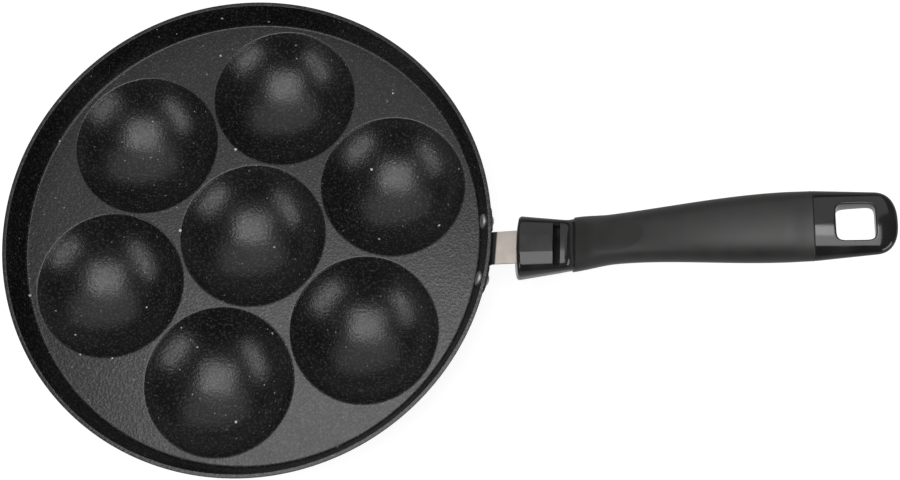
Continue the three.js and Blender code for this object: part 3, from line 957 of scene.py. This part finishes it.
@dataclass(frozen=True)
class HandleCollar:
    """Glossy collar round the tang, planed flat on top, with a slot across it in front of the neck."""

    spine: Spine
    front: Section = Section(16.6, 11.4, 12.7, 3.3)
    rear: Section = Section(13.9, 6.4, 11.5, 3.3)
    flats: tuple[float, ...] = (0.0, 0.32, 0.62)  # edges of the flats as shares of the half width
    wall: float = 1.8
    bulge: float = 1.4
    front_round: float = 1.8
    rear_round: float = 0.2
    notch_length: float = 3.5
    notch_width: float = 23.0
    slot: Section = Section(9.05, 1.1, 1.1, 14.0)
    slot_lift: float = 3.0
    sides: int = 176
    steps: int = 20
    round_steps: int = 5

    def section(self, reach: float) -> Section:
        """Section at a reach."""
        return self.front.mix(self.rear, reach / self.spine.collar)

    def end(self, turn: float) -> float:
        """Where the collar ends at a turn: sooner across its top, where the slot is.

        Args:
            turn: Turn round the collar.

        Returns:
            The reach of its end.
        """
        across, up = self.rear.point(turn)
        in_slot = up > 0.0 and abs(across) < self.notch_width / 2.0
        return self.spine.collar - (self.notch_length if in_slot else 0.0)

    def planed(self, section: Section, turn: float) -> Point:
        """Place on the outline at a turn, with the flats that run along the collar's top.

        Args:
            section: The rounded section.
            turn: Turn round it.

        Returns:
            Across and up.
        """
        across, up = section.point(turn)
        share = abs(across) / section.across
        for start, end in zip(self.flats, self.flats[1:]):
            if up > 0.0 and start <= share <= end:
                low = section.height(end)
                high = section.height(start) if start else low
                return across, high + (low - high) * (share - start) / (end - start)
        return across, up

    def at(self, reach: float, across: float, up: float) -> Vector:
        """A point of the collar, whose front face bulges forwards.

        Args:
            reach: Distance along the spine from the collar's front.
            across: Distance to the left of the spine.
            up: Distance above the spine.

        Returns:
            The point in the frame.
        """
        share = 1.0 - min(1.0, max(0.0, reach / self.spine.collar))
        swell = self.bulge * (1.0 - (across / self.front.across) ** 2) * share
        return self.spine.point(reach - swell, across, up)

    def skin(self, reach: float, inset: float) -> Ring:
        """A ring on the skin at a plain reach."""
        section = self.section(reach).inset(inset)
        return lambda turn: self.at(reach, *self.planed(section, turn))

    def rear_point(self, turn: float, share: float, back: float, inset: float) -> Vector:
        """A point of such a ring as rearward makes, at a turn round the collar."""
        reach = self.front_round + (self.end(turn) - self.front_round) * share - back
        return self.at(reach, *self.planed(self.section(reach).inset(inset), turn))

    def rearward(self, share: float, back: float, inset: float) -> Ring:
        """A ring a share of the way from the front round to the end, less a distance back."""
        return lambda turn: self.rear_point(turn, share, back, inset)

    def mouth_point(self, turn: float, reach: float) -> Vector:
        """A point on the edge of the slot that takes the tang."""
        across, up = self.slot.point(turn)
        return self.at(reach, across, up + self.slot_lift)

    def mouth(self, reach: float) -> Ring:
        """A ring round the slot that takes the tang."""
        return lambda turn: self.mouth_point(turn, reach)

    def build(self, material: bpy.types.Material, screw: "ScrewSet") -> bpy.types.Object:
        """Builds and dresses the collar.

        Args:
            material: Its finish.
            screw: Gives the seat that is cut into its underside.

        Returns:
            The piece.
        """
        front_edge = rounded_edge(self.front_round, self.round_steps)
        rear_edge = rounded_edge(self.rear_round, self.round_steps)
        along = between(0.0, 1.0, self.steps)
        rings = [self.mouth(self.wall), self.mouth(0.0)]
        rings += [self.skin(back, inset) for back, inset in reversed(front_edge)]
        rings += [self.rearward(share, self.rear_round * share, 0.0) for share in along[1:]]
        rings += [self.rearward(1.0, back, inset) for back, inset in rear_edge[1:]]
        rings += [self.rearward(1.0, 0.0, self.wall), self.skin(self.wall, self.wall), self.mouth(self.wall)]
        bm = bmesh.new()
        loft(bm, rings, self.sides)
        return finish_piece(cut_away(bm, screw.seat()), "handle_collar", material)


@dataclass(frozen=True)
class GripSleeve:
    """Soft-touch sleeve round the core, with an oval thumb rest."""

    spine: Spine
    front: Section = Section(14.1, 7.4, 12.2, 2.5)
    waist: Section = Section(12.7, 8.0, 9.0, 2.3)
    belly: Section = Section(16.8, 8.6, 9.6, 2.3)
    rear: Section = Section(16.7, 7.2, 8.0, 2.2)
    belly_reach: float = 105.8  # widest place, from the grip's front
    thickness: float = 2.2
    end_round: float = 0.3
    thumb_start: float = 9.5
    thumb_length: float = 32.0
    thumb_width: float = 16.0
    thumb_depth: float = 0.8
    sides: int = 160
    steps: int = 170
    inside_steps: int = 42
    round_steps: int = 4

    def section(self, reach: float) -> Section:
        """Section at a reach.

        Args:
            reach: Distance along the spine from the collar's front.

        Returns:
            The section.
        """
        start, end = self.spine.grip_start, self.spine.tail_start
        waist, belly = start + self.spine.waist, start + self.belly_reach
        if reach < waist:
            return self.front.mix(self.waist, smoothstep(reach, start, waist))
        if reach < belly:
            return self.waist.mix(self.belly, smoothstep(reach, waist, belly))
        return self.belly.mix(self.rear, smoothstep(reach, belly, end))

    def thumb_drop(self, reach: float, across: float) -> float:
        """How deep the thumb rest is at a place on the grip's top.

        Args:
            reach: Distance along the spine from the collar's front.
            across: Distance to the left of the spine.

        Returns:
            The depth.
        """
        middle = self.spine.grip_start + self.thumb_start + self.thumb_length / 2.0
        along = (reach - middle) / (self.thumb_length / 2.0)
        away = along**2 + (across / (self.thumb_width / 2.0)) ** 2
        return self.thumb_depth * max(0.0, 1.0 - away)

    def skin_point(self, reach: float, section: Section, turn: float) -> Vector:
        """A point on the sleeve's outside, sunk by the thumb rest.

        Args:
            reach: Distance along the spine from the collar's front.
            section: Section of the outside there.
            turn: Turn round it in radians.

        Returns:
            The point in the frame.
        """
        across, up = section.point(turn)
        drop = self.thumb_drop(reach, across) if up > 0.0 else 0.0
        return self.spine.point(reach, across, up - drop)

    def skin(self, reach: float, inset: float) -> Ring:
        """A ring on the sleeve's outside, made smaller by an inset."""
        section = self.section(reach).inset(inset)
        return lambda turn: self.skin_point(reach, section, turn)

    def build(self, material: bpy.types.Material) -> bpy.types.Object:
        """Builds and dresses the sleeve.

        Args:
            material: Its finish.

        Returns:
            The piece.
        """
        low, high = self.spine.grip_start + HAIRLINE, self.spine.tail_start - HAIRLINE
        edge = rounded_edge(self.end_round, self.round_steps)
        along = between(low + self.end_round, high - self.end_round, self.steps)
        rings = [self.skin(low + back, inset) for back, inset in reversed(edge)]
        rings += [self.skin(reach, 0.0) for reach in along[1:]]
        rings += [self.skin(high - back, inset) for back, inset in edge[1:]]
        bore = self.thickness - FIT
        inside = between(high, low, self.inside_steps)
        rings += [self.spine.ring(reach, self.section(reach).inset(bore)) for reach in inside]
        rings.append(rings[0])
        bm = bmesh.new()
        loft(bm, rings, self.sides)
        return finish_piece(bm, "grip_sleeve", material)


@dataclass(frozen=True)
class HandleCore:
    """Glossy moulded core: a spigot in the collar, a neck, a bar in the sleeve and the tail with its hole."""

    spine: Spine
    collar: HandleCollar
    sleeve: GripSleeve
    neck_rear: Section = Section(13.5, 6.6, 11.4, 2.6)
    tail_end: Section = Section(13.9, 3.8, 3.8, 2.4)
    tail_round: float = 10.0
    end_square: float = 2.6
    hole: float = 17.0  # width of the hanging hole
    hole_square: float = 6.0  # 2 would be a round hole
    hole_end: float = 9.6  # between the hole and the tail's end
    hole_round: float = 0.8
    neck_round: float = 0.25
    seam_round: float = 0.3
    groove: Section = Section(11.6, 0.8, 9.0, 4.0)  # floor of the collar's slot
    tail_overlap: float = 1.0  # how far the bar runs into the tail
    sides: int = 144
    tail_sides: int = 192
    seam_sides: int = 40
    steps: int = 26
    halvings: int = 40  # of the search for the tail's outline
    round_steps: int = 5

    @property
    def hole_middle(self) -> float:
        """Reach of the hanging hole's middle."""
        return self.spine.length - self.hole_end - self.hole / 2.0

    def neck_section(self, reach: float) -> Section:
        """Section of the neck, which carries on the collar's taper and turns up towards the grip."""
        share = (reach - self.spine.collar) / self.spine.neck
        return self.collar.section(reach).mix(self.neck_rear, share**2)

    def tail_section(self, reach: float) -> Section:
        """Section of the tail before its end is rounded."""
        share = (reach - self.spine.tail_start) / self.spine.tail
        return self.sleeve.rear.mix(self.tail_end, share)

    def fullness(self, reach: float, across: float) -> float:
        """Share of the section's height that is left at a place of the tail.

        Args:
            reach: Distance along the spine from the collar's front.
            across: Distance to the left of the spine.

        Returns:
            The share, below zero outside the tail.
        """
        section = self.tail_section(reach)
        past = max(0.0, reach - (self.spine.length - self.tail_round)) / self.tail_round
        return 1.0 - abs(across / section.across) ** section.square - past**self.end_square

    def outline(self, turn: float) -> float:
        """Distance from the hole's middle to the tail's outline in a direction.

        Args:
            turn: Direction in radians.

        Returns:
            The distance.
        """
        low, high = 0.0, self.spine.tail
        for _ in range(self.halvings):
            middle = (low + high) / 2.0
            reach = self.hole_middle + middle * math.cos(turn)
            inside = reach > self.spine.tail_start and self.fullness(reach, middle * math.sin(turn)) > 0.0
            low, high = (middle, high) if inside else (low, middle)
        return low

    def hole_edge(self, turn: float) -> float:
        """Distance from the hole's middle to its edge in a direction."""
        x, y = abs(math.cos(turn)), abs(math.sin(turn))
        return self.hole / 2.0 * (x**self.hole_square + y**self.hole_square) ** (-1.0 / self.hole_square)

    def direction(self, turn: float) -> float:
        """Spreads the turns so that two of them meet the corners of the tail's front face.

        Args:
            turn: Turn round a ring.

        Returns:
            The direction in radians.
        """
        corner = math.pi - math.atan2(self.sleeve.rear.across, self.hole_middle - self.spine.tail_start)
        share = turn / math.tau
        seam = self.seam_sides / self.tail_sides
        if share <= 1.0 - seam:
            return -corner + 2.0 * corner * share / (1.0 - seam)
        return corner + (math.tau - 2.0 * corner) * (share - 1.0 + seam) / seam

    def tail_point(self, turn: float, share: float, side: float, drop: float) -> Vector:
        """A point on the tail.

        Args:
            turn: Turn round the hanging hole.
            share: Share of the way out from the hole's rounded edge.
            side: 1 on top and -1 below.
            drop: Radians round the hole's rounded edge, from 0 on the face to a quarter turn on its wall.

        Returns:
            The point in the frame.
        """
        heading = self.direction(turn)
        start = self.hole_edge(heading) + self.hole_round * (1.0 - math.sin(drop))
        away = start + (self.outline(heading) - start) * share
        reach = self.hole_middle + away * math.cos(heading)
        across = away * math.sin(heading)
        section = self.tail_section(reach)
        height = section.above if side > 0.0 else section.below
        full = max(0.0, self.fullness(reach, across)) ** (1.0 / section.square)
        seam = max(0.0, self.seam_round - (reach - self.spine.tail_start))
        sunk = self.seam_round - math.sqrt(max(0.0, self.seam_round**2 - seam**2))
        sunk += self.hole_round * (1.0 - math.cos(drop))
        return self.spine.point(reach, across, side * max(0.0, height * full - sunk))

    def tail_ring(self, share: float, side: float, drop: float) -> Ring:
        """A ring on the tail round the hanging hole."""
        return lambda turn: self.tail_point(turn, share, side, drop)

    def build_tail(self, bm: bmesh.types.BMesh) -> None:
        """Adds the tail, as rings from the hole out over the top and back underneath.

        Args:
            bm: Mesh to add to.
        """
        quarter = between(0.0, math.pi / 2.0, self.round_steps)
        spread = [math.sin(angle) for angle in between(0.0, math.pi / 2.0, self.steps)]
        half = [(0.0, drop) for drop in reversed(quarter[1:])] + [(share, 0.0) for share in spread]
        rings = [self.tail_ring(share, 1.0, drop) for share, drop in half]
        rings += [self.tail_ring(share, -1.0, drop) for share, drop in reversed(half)]
        rings.append(rings[0])
        loft(bm, rings, self.tail_sides)

    def build_bar(self, bm: bmesh.types.BMesh) -> None:
        """Adds the spigot, the neck and the bar inside the sleeve as one loft.

        Args:
            bm: Mesh to add to.
        """
        spine = self.spine
        inner = self.collar.wall + FIT
        slot_start = spine.collar - self.collar.notch_length - FIT
        nothing = Section(0.0, 0.0, 0.0, 2.0)
        rings = [spine.ring(inner, nothing)]
        rings += [self.collar.skin(reach, inner) for reach in between(inner, slot_start, self.steps)]
        front = spine.collar + HAIRLINE
        rings += [spine.ring(reach, self.groove) for reach in (slot_start, front)]
        for back, inset in reversed(rounded_edge(self.neck_round, self.round_steps)):
            reach = front + back
            rings.append(spine.ring(reach, self.neck_section(reach).inset(inset)))
        neck = between(front + self.neck_round, spine.grip_start, self.steps)[1:]
        rings += [spine.ring(reach, self.neck_section(reach)) for reach in neck]
        bar = between(spine.grip_start, spine.tail_start + self.tail_overlap, self.steps)
        rings += [spine.ring(reach, self.sleeve.section(reach).inset(self.sleeve.thickness)) for reach in bar]
        rings.append(spine.ring(bar[-1], nothing))
        loft(bm, rings, self.sides)

    def build(self, material: bpy.types.Material, screw: "ScrewSet") -> bpy.types.Object:
        """Builds and dresses the core.

        Args:
            material: Its finish.
            screw: Gives the seat that is cut into the spigot.

        Returns:
            The piece.
        """
        bar = bmesh.new()
        self.build_bar(bar)
        bm = cut_away(bar, screw.seat())
        self.build_tail(bm)
        return finish_piece(bm, "handle_core", material)


@dataclass(frozen=True)
class ScrewSet:
    """Screw and washer that hold the handle on the tang, upright to the spine under the collar."""

    spine: Spine
    collar: HandleCollar
    reach: float = 12.0  # from the collar's front
    radius: float = 2.5
    head_radius: float = 4.2
    head_height: float = 3.0
    head_round: float = 1.0
    washer_radius: float = 4.7
    washer_thickness: float = 1.0
    washer_chamfer: float = 0.25
    seat_depth: float = 3.6
    tip: float = 3.8  # screw's tip above the spine
    cross_width: float = 1.1
    cross_length: float = 4.6
    cross_depth: float = 1.3
    steps: int = 48
    round_steps: int = 5

    @property
    def seat_level(self) -> float:
        """Height of the washer's seat from the spine."""
        section = self.collar.section(self.reach)
        return -(section.below - self.collar.wall - FIT) + self.seat_depth

    @property
    def head_low(self) -> float:
        """Height of the head's outer face from the spine."""
        return self.seat_level - 2.0 * FIT - self.washer_thickness - self.head_height

    def on_axis(self, profile: list[Point]) -> bmesh.types.BMesh:
        """Turns a profile about the screw's axis.

        Args:
            profile: Points as radius and height from the spine.

        Returns:
            The turned shape.
        """
        bm = turned(profile, self.steps, Vector())
        self.settle(bm)
        return bm

    def settle(self, bm: bmesh.types.BMesh) -> None:
        """Moves a mesh drawn about the Z axis onto the screw's axis."""
        for vert in bm.verts:
            vert.co = self.beside(vert.co)

    def beside(self, local: Vector) -> Vector:
        """A point drawn about the Z axis, on the screw's axis.

        Args:
            local: The point as drawn.

        Returns:
            The point in the frame.
        """
        x, z = self.spine.place(self.reach)
        slope = self.spine.slope(self.reach)
        along, up = local.x, local.z
        return self.spine.turned(
            x + along * math.cos(slope) - up * math.sin(slope),
            local.y,
            z + along * math.sin(slope) + up * math.cos(slope),
        )

    def seat(self) -> bmesh.types.BMesh:
        """The room cut for washer and head.

        Returns:
            The shape to take away.
        """
        radius = self.washer_radius + FIT
        low = -self.collar.front.below - self.head_height
        return self.on_axis([(0.0, low), (radius, low), (radius, self.seat_level), (0.0, self.seat_level)])

    def cross_bar(self, quarter: bool) -> bmesh.types.BMesh:
        """One bar of the cross recess in the head.

        Args:
            quarter: Whether the bar is turned by a quarter.

        Returns:
            The shape to take away.
        """
        bm = bmesh.new()
        bmesh.ops.create_cube(bm, size=1.0)
        bmesh.ops.scale(bm, vec=(self.cross_length, self.cross_width, 2.0 * self.cross_depth), verts=bm.verts)
        if quarter:
            bmesh.ops.rotate(bm, cent=Vector(), matrix=Matrix.Rotation(math.pi / 2.0, 3, "Z"), verts=bm.verts)
        bmesh.ops.translate(bm, vec=(0.0, 0.0, self.head_low), verts=bm.verts)
        self.settle(bm)
        return bm

    def build(self, material: bpy.types.Material) -> list[bpy.types.Object]:
        """Builds and dresses the screw and its washer.

        Args:
            material: Their finish.

        Returns:
            The two pieces.
        """
        low, bevel = self.head_low, self.head_round
        high = low + self.head_height
        edge = (self.head_radius - bevel, low + bevel)
        profile = [(0.0, low), *arc(edge, bevel, -90.0, 0.0, self.round_steps), (self.head_radius, high)]
        screw = self.on_axis([*profile, (self.radius, high), (self.radius, self.tip), (0.0, self.tip)])
        for quarter in (False, True):
            screw = cut_away(screw, self.cross_bar(quarter))
        bottom = high + FIT
        top = bottom + self.washer_thickness
        inner, outer, chamfer = self.radius + FIT, self.washer_radius, self.washer_chamfer
        ring = [
            (inner, bottom), (outer - chamfer, bottom), (outer, bottom + chamfer), (outer, top - chamfer),
            (outer - chamfer, top), (inner, top), (inner, bottom),
        ]
        return [
            finish_piece(screw, "handle_screw", material),
            finish_piece(self.on_axis(ring), "screw_washer", material),
        ]


@dataclass(frozen=True)
class HandleBracket:
    """One strip of sheet steel, bent over from the flange on the wall into the tang in the handle."""

    pan: PanBody
    spine: Spine
    sheet: float = 1.6
    flange_width: float = 46.0
    flange_height: float = 9.0
    flange_corner: float = 3.6
    bend_radius: float = 4.0
    relief: float = 1.2  # notch in the flange on either side of the bend
    overlap: float = 2.25  # how far the strip runs down into the flange
    tang_width: float = 17.5
    tang_reach: float = 17.5  # from the collar's front into the handle
    tang_lift: float = 3.0  # tang above the spine
    rivet_drop: float = 8.6  # flange's middle below the rim
    edge_round: float = 0.25
    steps: int = 64
    bend_steps: int = 10

    @property
    def middle_z(self) -> float:
        """Height of the flange's middle."""
        return self.pan.rim_z - self.rivet_drop

    def tang_line(self) -> tuple[Vector, Vector, Vector]:
        """Middle line of the tang in the XZ plane.

        Returns:
            A point at the collar's front, and the directions along and up.
        """
        slope = self.spine.slope(0.0)
        x, z = self.spine.place(0.0)
        along = Vector((math.cos(slope), math.sin(slope)))
        up = Vector((-along.y, along.x))
        return Vector((x, z)) + up * self.tang_lift, along, up

    def strip_outline(self) -> list[Vector]:
        """Outline of the bent strip in the XZ plane, from the flange over the bend to the tang's end.

        Returns:
            The points in order.
        """
        start, along, up = self.tang_line()
        lean = math.radians(self.pan.lean)
        rise = Vector((math.sin(lean), math.cos(lean)))
        out = Vector((rise.y, -rise.x))
        middle = self.pan.outer_at(start.y) + (FIT + self.sheet / 2.0) / math.cos(lean)
        back = (middle - start.x) / (along.x - math.tan(lean) * along.y)
        slope = self.spine.slope(0.0)
        setback = self.bend_radius * math.tan((math.pi / 2.0 - lean - slope) / 2.0)
        foot = start + along * back - rise * setback
        centre = foot + out * self.bend_radius
        root = foot - rise * self.overlap
        end = start + along * self.tang_reach
        half = self.sheet / 2.0
        turns = (180.0 - self.pan.lean, 90.0 + math.degrees(slope))
        over = arc(tuple(centre), self.bend_radius + half, *turns, self.bend_steps)
        under = arc(tuple(centre), self.bend_radius - half, *reversed(turns), self.bend_steps)
        points = [root - out * half, *map(Vector, over), end + up * half]
        return [*points, end - up * half, *map(Vector, under), root + out * half]

    def build_strip(self, bm: bmesh.types.BMesh) -> None:
        """Adds the bent strip, its long edges a little rounded.

        Args:
            bm: Mesh to add to.
        """
        side = -self.tang_width / 2.0
        verts = [bm.verts.new((p.x, side, p.y)) for p in self.strip_outline()]
        face = bm.faces.new(verts)
        made = bmesh.ops.extrude_face_region(bm, geom=[face])
        moved = [v for v in made["geom"] if isinstance(v, bmesh.types.BMVert)]
        bmesh.ops.translate(bm, vec=(0.0, self.tang_width, 0.0), verts=moved)
        bmesh.ops.recalc_face_normals(bm, faces=bm.faces)
        edges = [e for e in bm.edges if abs(e.verts[0].co.y - e.verts[1].co.y) < MERGE]
        bmesh.ops.bevel(
            bm, geom=edges, offset=self.edge_round, affect="EDGES", segments=2, profile=0.5, material=-1
        )
        for vert in bm.verts:
            vert.co = self.spine.turned(*vert.co)

    def flange_outline(self) -> list[Point]:
        """Section of the flange with its edges a little rounded.

        Returns:
            Distances from the wall and above the flange's middle, with the first point again at the end.
        """
        half, edge = self.flange_height / 2.0, self.edge_round
        near, far = FIT, FIT + self.sheet
        return [
            (near, -half + edge), (near + edge, -half), (far - edge, -half), (far, -half + edge),
            (far, half - edge), (far - edge, half), (near + edge, half), (near, half - edge),
            (near, -half + edge),
        ]

    def flange_point(self, across: float, turn: float) -> Vector:
        """A point on the flange, which is lower at its rounded corners.

        Args:
            across: Distance from the flange's middle.
            turn: Turn round its section in radians.

        Returns:
            The point in the frame.
        """
        outline = self.flange_outline()
        away, up = outline[round(turn / math.tau * (len(outline) - 1))]
        half, corner = self.flange_height / 2.0, self.flange_corner
        over = max(0.0, abs(across) - (self.flange_width / 2.0 - corner))
        z = self.middle_z + up * (half - corner + math.sqrt(max(0.0, corner**2 - over**2))) / half
        radius = self.pan.outer_at(z) + away / math.cos(math.radians(self.pan.lean))
        heading = math.asin(across / self.pan.outer_at(self.middle_z))
        return Vector((radius * math.cos(heading), radius * math.sin(heading), z))

    def flange_ring(self, across: float) -> Ring:
        """A ring round the flange at a distance from its middle."""
        return lambda turn: self.flange_point(across, turn)

    def notch(self) -> bmesh.types.BMesh:
        """The room cut into the flange on either side of the bend.

        Returns:
            The shape to take away.
        """
        bm = bmesh.new()
        bmesh.ops.create_cube(bm, size=1.0)
        size = (self.flange_width, self.tang_width + 2.0 * self.relief, self.flange_height)
        bmesh.ops.scale(bm, vec=size, verts=bm.verts)
        middle = min(p.y for p in self.strip_outline()) + self.overlap + self.flange_height / 2.0
        bmesh.ops.translate(bm, vec=(self.pan.rim_radius, 0.0, middle), verts=bm.verts)
        return bm

    def flange_mesh(self) -> bmesh.types.BMesh:
        """The curved flange with rounded corners and the notch beside the bend.

        Returns:
            The closed mesh.
        """
        bm = bmesh.new()
        turns = between(-math.pi / 2.0, math.pi / 2.0, self.steps)
        rings = [self.flange_ring(self.flange_width / 2.0 * math.sin(turn)) for turn in turns]
        loft(bm, rings, len(self.flange_outline()) - 1)
        bmesh.ops.remove_doubles(bm, verts=bm.verts, dist=MERGE)
        bmesh.ops.holes_fill(bm, edges=[e for e in bm.edges if e.is_boundary])
        return cut_away(bm, self.notch())

    def build(self, material: bpy.types.Material) -> bpy.types.Object:
        """Builds and dresses the bracket.

        Args:
            material: Its finish.

        Returns:
            The piece.
        """
        bm = bmesh.new()
        self.build_strip(bm)
        join(bm, self.flange_mesh())
        return finish_piece(bm, "handle_bracket", material)


@dataclass(frozen=True)
class Rivets:
    """Two rivets square to the leaning wall, with flat heads inside and low domed ones outside."""

    pan: PanBody
    bracket: HandleBracket
    spread: float = 31.5
    shank_radius: float = 2.4
    head_radius: float = 4.0
    head_height: float = 1.9  # outer heads
    flat_height: float = 1.4  # inner heads
    shoulder: float = 1.1  # round of the inner heads' edges
    steps: int = 64
    round_steps: int = 8

    def profile(self) -> list[Point]:
        """Profile from the inner head's top along the shank to the outer head's top.

        Returns:
            Points as radius and distance from the wall's inner face.
        """
        grip = self.pan.wall_thickness * math.cos(math.radians(self.pan.lean)) + FIT + self.bracket.sheet
        radius, height = self.head_radius, self.head_height
        dome = (radius**2 + height**2) / (2.0 * height)
        rise = math.degrees(math.asin(radius / dome))
        edge = (radius - self.shoulder, self.shoulder - self.flat_height)
        return [
            (0.0, -self.flat_height),
            *arc(edge, self.shoulder, -90.0, 0.0, self.round_steps),
            (radius, 0.0),
            (self.shank_radius, 0.0),
            (self.shank_radius, grip),
            *arc((0.0, grip + height - dome), dome, 90.0 - rise, 90.0, self.round_steps),
        ]

    def build(self, material: bpy.types.Material) -> list[bpy.types.Object]:
        """Builds and dresses both rivets.

        Args:
            material: Their finish.

        Returns:
            The two pieces.
        """
        radius = self.pan.inner_at(self.bracket.middle_z)
        tilt = Matrix.Rotation(math.radians(90.0 + self.pan.lean), 4, "Y")
        pieces = []
        for node, side in (("rivet_left", 1.0), ("rivet_right", -1.0)):
            heading = side * math.asin(self.spread / 2.0 / radius)
            place = Matrix.Rotation(heading, 4, "Z")
            place @= Matrix.Translation((radius, 0.0, self.bracket.middle_z)) @ tilt
            bm = turned(self.profile(), self.steps, Vector())
            bmesh.ops.transform(bm, matrix=place, verts=bm.verts)
            pieces.append(finish_piece(bm, node, material))
        return pieces


# Studio


@dataclass(frozen=True)
class Softbox:
    """A flat lamp that looks at a point, in metres and watts."""

    name: str
    place: Place
    aim: Place
    size: Span
    power: float

    def build(self) -> None:
        """Makes the lamp."""
        lamp = bpy.data.lights.new(self.name, "AREA")
        lamp.shape = "RECTANGLE"
        lamp.size, lamp.size_y = self.size
        lamp.energy = self.power
        item = bpy.data.objects.new(self.name, lamp)
        item.location = self.place
        item.rotation_euler = (Vector(self.aim) - Vector(self.place)).to_track_quat("-Z", "Y").to_euler()
        bpy.context.scene.collection.objects.link(item)


@dataclass(frozen=True)
class Studio:
    """Pale floor, soft lamps, a dim room and the camera."""

    softboxes: tuple[Softbox, ...] = (
        Softbox("top_softbox", (-0.05, -0.13, 1.3), (-0.05, 0.0, 0.02), (0.9, 0.78), 7.9),
        Softbox("left_softbox", (-0.97, -0.6, 0.83), (0.0, 0.0, 0.02), (0.9, 0.34), 3.3),
        Softbox("right_softbox", (0.98, -0.66, 0.72), (0.0, 0.0, 0.02), (0.85, 0.42), 4.0),
        Softbox("back_fill", (-0.15, 0.8, 1.2), (0.1, 0.0, 0.03), (2.1, 1.2), 6.0),
        Softbox("tail_softbox", (0.18, 0.1, 1.25), (0.18, 0.0, 0.1), (0.12, 0.28), 0.38),
    )
    floor_size: float = 6.0  # metres
    floor_level: float = -0.0003  # metres
    floor_grey: float = 0.3
    floor_rough: float = 0.9
    floor_glow: float = 0.86
    mirrored: float = 0.45  # share of the pale surroundings that glossy pieces show
    room_grey: float = 0.03
    pale_wall: Span = (8.0, 20.0)  # degrees above the floor between which the walls darken
    camera_place: Place = (131.205, -128.862, 571.593)  # millimetres
    camera_turn: Place = (13.952, 1.2081, 5.0711)  # degrees
    lens: float = 41.6576  # millimetres, as is the sensor
    sensor: float = 36.0
    near_clip: float = 0.01  # metres

    def seen_directly(self, graph: Graph) -> bpy.types.NodeSocket:
        """1 for camera and transmission rays, a share for mirrored ones, and 0 for the rest.

        Args:
            graph: Graph to add to.

        Returns:
            The share.
        """
        path = graph.node("ShaderNodeLightPath").outputs
        seen = graph.math("MAXIMUM", path["Is Camera Ray"], path["Is Transmission Ray"])
        return graph.math("MAXIMUM", seen, graph.math("MULTIPLY", path["Is Glossy Ray"], self.mirrored))

    def build_floor(self) -> None:
        """Makes the pale floor, which stays near white to the camera and keeps a soft shadow."""
        bm = bmesh.new()
        bmesh.ops.create_grid(bm, x_segments=2, y_segments=2, size=self.floor_size / 2.0)
        bmesh.ops.translate(bm, vec=(0.0, 0.0, self.floor_level), verts=bm.verts)
        floor = to_object(bm, "floor")
        material = bpy.data.materials.new("pale_floor")
        material.use_nodes = True
        graph = Graph(material.node_tree)
        shader = material.node_tree.nodes["Principled BSDF"]
        graph.feed(shader, {
            "Base Color": grey(self.floor_grey),
            "Roughness": self.floor_rough,
            "Specular IOR Level": 0.0,
            "Emission Color": grey(1.0),
            "Emission Strength": graph.math("MULTIPLY", self.seen_directly(graph), self.floor_glow),
        })
        floor.data.materials.append(material)

    def build_room(self) -> None:
        """Makes a dim room whose walls look white low down, where they stand behind the object."""
        world = bpy.data.worlds.new("room")
        world.use_nodes = True
        graph = Graph(world.node_tree)
        back = world.node_tree.nodes["Background"]
        toward = graph.node("ShaderNodeTexCoord").outputs["Generated"]
        height = graph.node("ShaderNodeSeparateXYZ", {"Vector": toward}).outputs["Z"]
        low, high = (math.sin(math.radians(angle)) for angle in self.pale_wall)
        pale = graph.ramp(height, (low, high), (1.0, 0.0))
        wall = graph.math("MULTIPLY", pale, self.seen_directly(graph))
        graph.feed(back, {"Color": graph.mix(wall, grey(self.room_grey), grey(1.0))})
        bpy.context.scene.world = world

    def build_camera(self) -> None:
        """Makes the camera at the photograph's place."""
        data = bpy.data.cameras.new("camera")
        data.lens = self.lens
        data.sensor_width = self.sensor
        data.clip_start = self.near_clip
        camera = bpy.data.objects.new("camera", data)
        camera.location = Vector(self.camera_place) * MM
        camera.rotation_euler = Euler([math.radians(a) for a in self.camera_turn])
        bpy.context.scene.collection.objects.link(camera)
        bpy.context.scene.camera = camera

    def build(self) -> None:
        """Makes everything round the object."""
        self.build_camera()
        self.build_floor()
        self.build_room()
        for softbox in self.softboxes:
            softbox.build()
        bpy.context.scene.view_settings.view_transform = "Standard"


# Build


def main() -> None:
    """Builds the studio and every piece of the pan in order, and reports each piece."""
    logging.basicConfig(level=logging.INFO, format="%(name)s %(message)s")
    Studio().build()
    grain, specks = grain_group(), speck_group()
    coat = SpeckledCoat(grain, specks).material()
    steel = BareSteel(grain, specks).material()
    aluminium = BrightMetal(grain, specks).material()
    zinc = BrightMetal(grain, specks, name="zinc_plate", level=0.45, roughness=0.32).material()
    gloss = GlossMoulding(grain, specks).material()
    soft = SoftTouch(grain, specks).material()
    pan = PanBody()
    spine = Spine(pan)
    collar = HandleCollar(spine)
    sleeve = GripSleeve(spine)
    core = HandleCore(spine, collar, sleeve)
    screw = ScrewSet(spine, collar)
    bracket = HandleBracket(pan, spine)
    pieces = [
        pan.build(coat),
        bracket.build(steel),
        *Rivets(pan, bracket).build(aluminium),
        collar.build(gloss, screw),
        core.build(gloss, screw),
        sleeve.build(soft),
        *screw.build(zinc),
    ]
    for piece in pieces:
        log.info("%s: %d faces", piece.name, len(piece.data.polygons))


if __name__ == "__main__":
    main()
